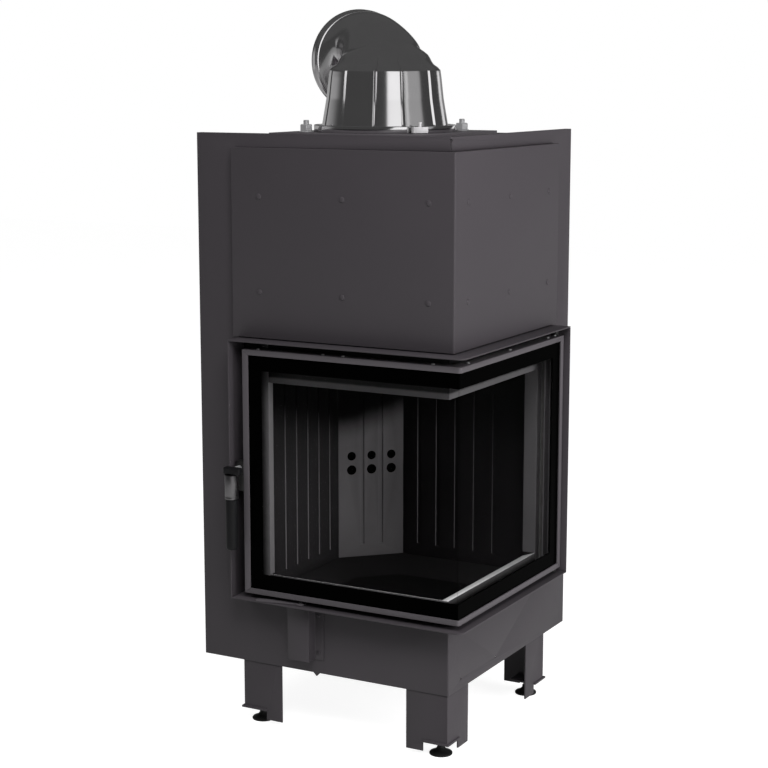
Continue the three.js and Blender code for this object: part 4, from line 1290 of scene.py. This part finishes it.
# ---- Small fasteners ----
@dataclass
class Fasteners:
    """Screw heads and pressed rivets on the jacket, the door, the air box and the lower flange."""

    shop: Workshop
    jacket_x: tuple[float, ...] = (143.0, 317.0, 490.0)
    jacket_y: tuple[float, ...] = (38.0, 210.0, 384.0)
    jacket_z: tuple[float, ...] = (887.0, 713.0)
    jacket_proud: float = 15.0
    door_x: tuple[float, ...] = (147.0, 285.0, 326.0, 506.5)
    door_y: tuple[float, ...] = (13.0, 186.0, 358.0, 392.0)
    door_proud: float = 28.0
    door_top: float = 609.0
    box_front: float = -2.3
    box_spots: tuple[tuple[float, float], ...] = ((256.5, 112.0), (256.3, 41.0))
    flange_proud: float = 27.0
    flange_spots: tuple[tuple[float, float], ...] = ((336.3, 126.2), (397.0, 133.4))

    def build(self) -> None:
        """Places each kind of head on the face that carries it."""
        front, side, under = (0.0, -1.0, 0.0), (1.0, 0.0, 0.0), (0.6, -0.6, -0.5)
        dome = [(4.6, -0.4), (5.6, 0.0), (5.5, 0.4), (4.6, 1.1), (3.0, 1.7), (1.2, 1.95)]
        rivets = [((x, -self.jacket_proud, z), front) for x in self.jacket_x for z in self.jacket_z]
        rivets += [((BODY_W + self.jacket_proud, y, z), side) for y in self.jacket_y for z in self.jacket_z]
        self.shop.finish(repeated("jacket_rivets", dome, 24, rivets), "casing", Finish.CASING, "body")

        pan = [(2.6, 0.0), (3.2, 0.1), (3.3, 0.8), (2.8, 1.7), (1.6, 2.2), (1.2, 2.2), (1.0, 1.4)]
        heads = [((x, -self.door_proud, self.door_top), UP) for x in self.door_x]
        heads += [((BODY_W + self.door_proud, y, self.door_top), UP) for y in self.door_y]
        self.shop.finish(repeated("door_top_screws", pan, 20, heads), "zinc", Finish.ZINC, "door")

        plain = [((x, self.box_front, z), front) for x, z in self.box_spots]
        self.shop.finish(repeated("air_box_screws", pan, 20, plain), "casing", Finish.CASING, "body")

        lower = [((BODY_W + self.flange_proud, y, z), under) for y, z in self.flange_spots]
        self.shop.finish(repeated("flange_screws", pan, 20, lower), "zinc", Finish.ZINC, "body")


# ---- Studio ----
@dataclass
class Studio:
    """Camera, lamps, pale floor and surroundings of the picture."""

    camera_at: Place = (1.63817, -3.01659, 1.23364)
    azimuth: float = 28.7313
    pitch: float = 9.7998
    lens: float = 85.0
    fill: float = 0.24
    floor_reach: float = 9.0
    floor_grey: float = 0.42
    floor_glow: float = 0.89
    floor_shine: float = 0.12
    panels: tuple[Sector, ...] = (
        (-42.0, 15.0, 2.0, 1.0), (-0.5, 14.5, 2.5, 0.30), (-18.0, 3.0, 1.0, 0.6))
    low_panels: tuple[Sector, ...] = ((80.0, 6.5, 1.5, 0.8), (146.0, 46.0, 12.0, 0.30))
    low_fade: tuple[float, float] = (4.0, 14.0)
    ceiling: tuple[float, float] = (19.0, 25.0)
    wall_level: float = 0.055
    ceiling_level: float = 0.075
    lamps: tuple[tuple[str, Place, Place, float, float], ...] = (
        ("key_lamp", (1.2, -1.8, 2.8), (0.0, 0.0, 0.9), 1.6, 84.0),
        ("side_lamp", (2.7, -0.2, 1.0), (0.25, 0.0, 0.6), 2.0, 89.0),
        ("left_lamp", (-1.4, -2.0, 2.9), (-0.1, 0.0, 1.3), 1.2, 20.0),
    )

    def build_camera(self) -> None:
        """Camera that looks along the azimuth, tipped down by the pitch."""
        data = bpy.data.cameras.new("camera")
        data.lens = self.lens
        data.sensor_width = 36.0
        data.clip_start, data.clip_end = 0.05, 60.0
        camera = make_object("camera", data)
        camera.location = self.camera_at
        camera.rotation_euler = (math.radians(90.0 - self.pitch), 0.0, math.radians(self.azimuth))
        bpy.context.scene.camera = camera

    def build_lamp(self, name: str, at: Place, aim: Place, side: float, power: float) -> None:
        """Square area lamp that stays out of reflections.

        Args:
            name: the lamp's name.
            at: its place in metres.
            aim: the point it faces.
            side: its width and height in metres.
            power: its power in watts.
        """
        data = bpy.data.lights.new(name, "AREA")
        data.shape = "SQUARE"
        data.size = side
        data.energy = power
        lamp = make_object(name, data)
        lamp.location = at
        lamp.rotation_euler = (Vector(aim) - Vector(at)).to_track_quat("-Z", "Y").to_euler()
        lamp.visible_glossy = False

    def build_floor(self) -> None:
        """Pale floor that looks white to the camera and still takes the object's shadow."""
        u = np.array([-self.floor_reach, self.floor_reach])
        grid = np.stack([*np.meshgrid(u, u), np.zeros((2, 2))], -1) * 1000.0 - ORIGIN
        floor = mesh_object("floor", grid.reshape(-1, 3), np.array([[0, 1, 3, 2]]), smooth=False)
        surface = Surface("pale_floor", {"Roughness": 0.9, "Specular IOR Level": 0.1})
        grain = surface.noise(surface.place(), 3.0, 2.0, 0.5)
        surface.dress(Base_Color=surface.scaled((self.floor_grey,) * 3, 0.98 + grain * 0.04))
        seen = surface.signal("ShaderNodeLightPath", "Is Camera Ray")
        gloss = surface.signal("ShaderNodeLightPath", "Is Glossy Ray")
        glow = surface.node("ShaderNodeEmission", {}, {
            "Color": (1.0, 1.0, 1.0, 1.0),
            "Strength": seen * self.floor_glow + gloss * self.floor_shine,
        })
        both = surface.node("ShaderNodeAddShader")
        surface.tree.links.new(surface.shader.outputs[0], both.inputs[0])
        surface.tree.links.new(glow.outputs[0], both.inputs[1])
        surface.tree.links.new(both.outputs[0], surface.tree.nodes["Material Output"].inputs[0])
        floor.data.materials.append(surface.material)

    def build_world(self) -> None:
        """Surroundings: white to the camera and through glass, even to matt surfaces, a room to shiny ones.

        The room has dark walls and a dark ceiling above about 22 degrees. A bright panel stands right of the
        camera, with a narrow strip and a grey panel further right. Near the horizon only, it has a pale
        panel behind the object and a broad grey one behind it to the left.
        """
        world = bpy.data.worlds.new("studio")
        world.use_nodes = True
        bpy.context.scene.world = world
        graph = Graph(world.node_tree)
        x, y, z = graph.axes(graph.signal("ShaderNodeTexCoord", "Generated"))
        flat = (x * x + y * y + 1e-6) ** 0.5

        def sector(centre: float, half: float, soft: float, strength: float) -> Signal:
            """Full strength inside the half width, nothing outside it, with a soft edge between."""
            a = math.radians(centre)
            near = (x * math.cos(a) + y * math.sin(a)) / flat
            edges = (math.cos(math.radians(half + soft)), math.cos(math.radians(half - soft)))
            return near.step(*edges) * strength

        def risen(degrees: tuple[float, float]) -> Signal:
            """0 below the first height above the horizon, 1 above the second."""
            return z.step(*(math.sin(math.radians(v)) for v in degrees))

        lit, low = (sum(sector(*one) for one in group) for group in (self.panels, self.low_panels))
        wall = self.wall_level + lit + low * (1.0 - risen(self.low_fade))
        above = risen(self.ceiling)
        room = wall * (1.0 - above) + above * self.ceiling_level
        gloss = graph.signal("ShaderNodeLightPath", "Is Glossy Ray")
        level = self.fill * (1.0 - gloss) + gloss * room
        for ray in ("Is Transmission Ray", "Is Camera Ray"):
            white = graph.signal("ShaderNodeLightPath", ray)
            level = level * (1.0 - white) + white
        background = world.node_tree.nodes["Background"]
        background.inputs["Color"].default_value = (1.0, 1.0, 1.0, 1.0)
        graph.feed(background.inputs["Strength"], level)

    def build(self) -> None:
        """Makes the whole studio and sets the plain view."""
        self.build_camera()
        self.build_floor()
        self.build_world()
        for lamp in self.lamps:
            self.build_lamp(*lamp)
        bpy.context.scene.view_settings.view_transform = "Standard"


def main() -> None:
    logging.basicConfig(level=logging.INFO, format="%(message)s")
    Studio().build()
    shop = Workshop()
    for kind in (SheetWork, FlueOutlet, DoorGlass, DoorHandle, ScrewFeet, Fasteners):
        kind(shop).build()


if __name__ == "__main__":
    main()
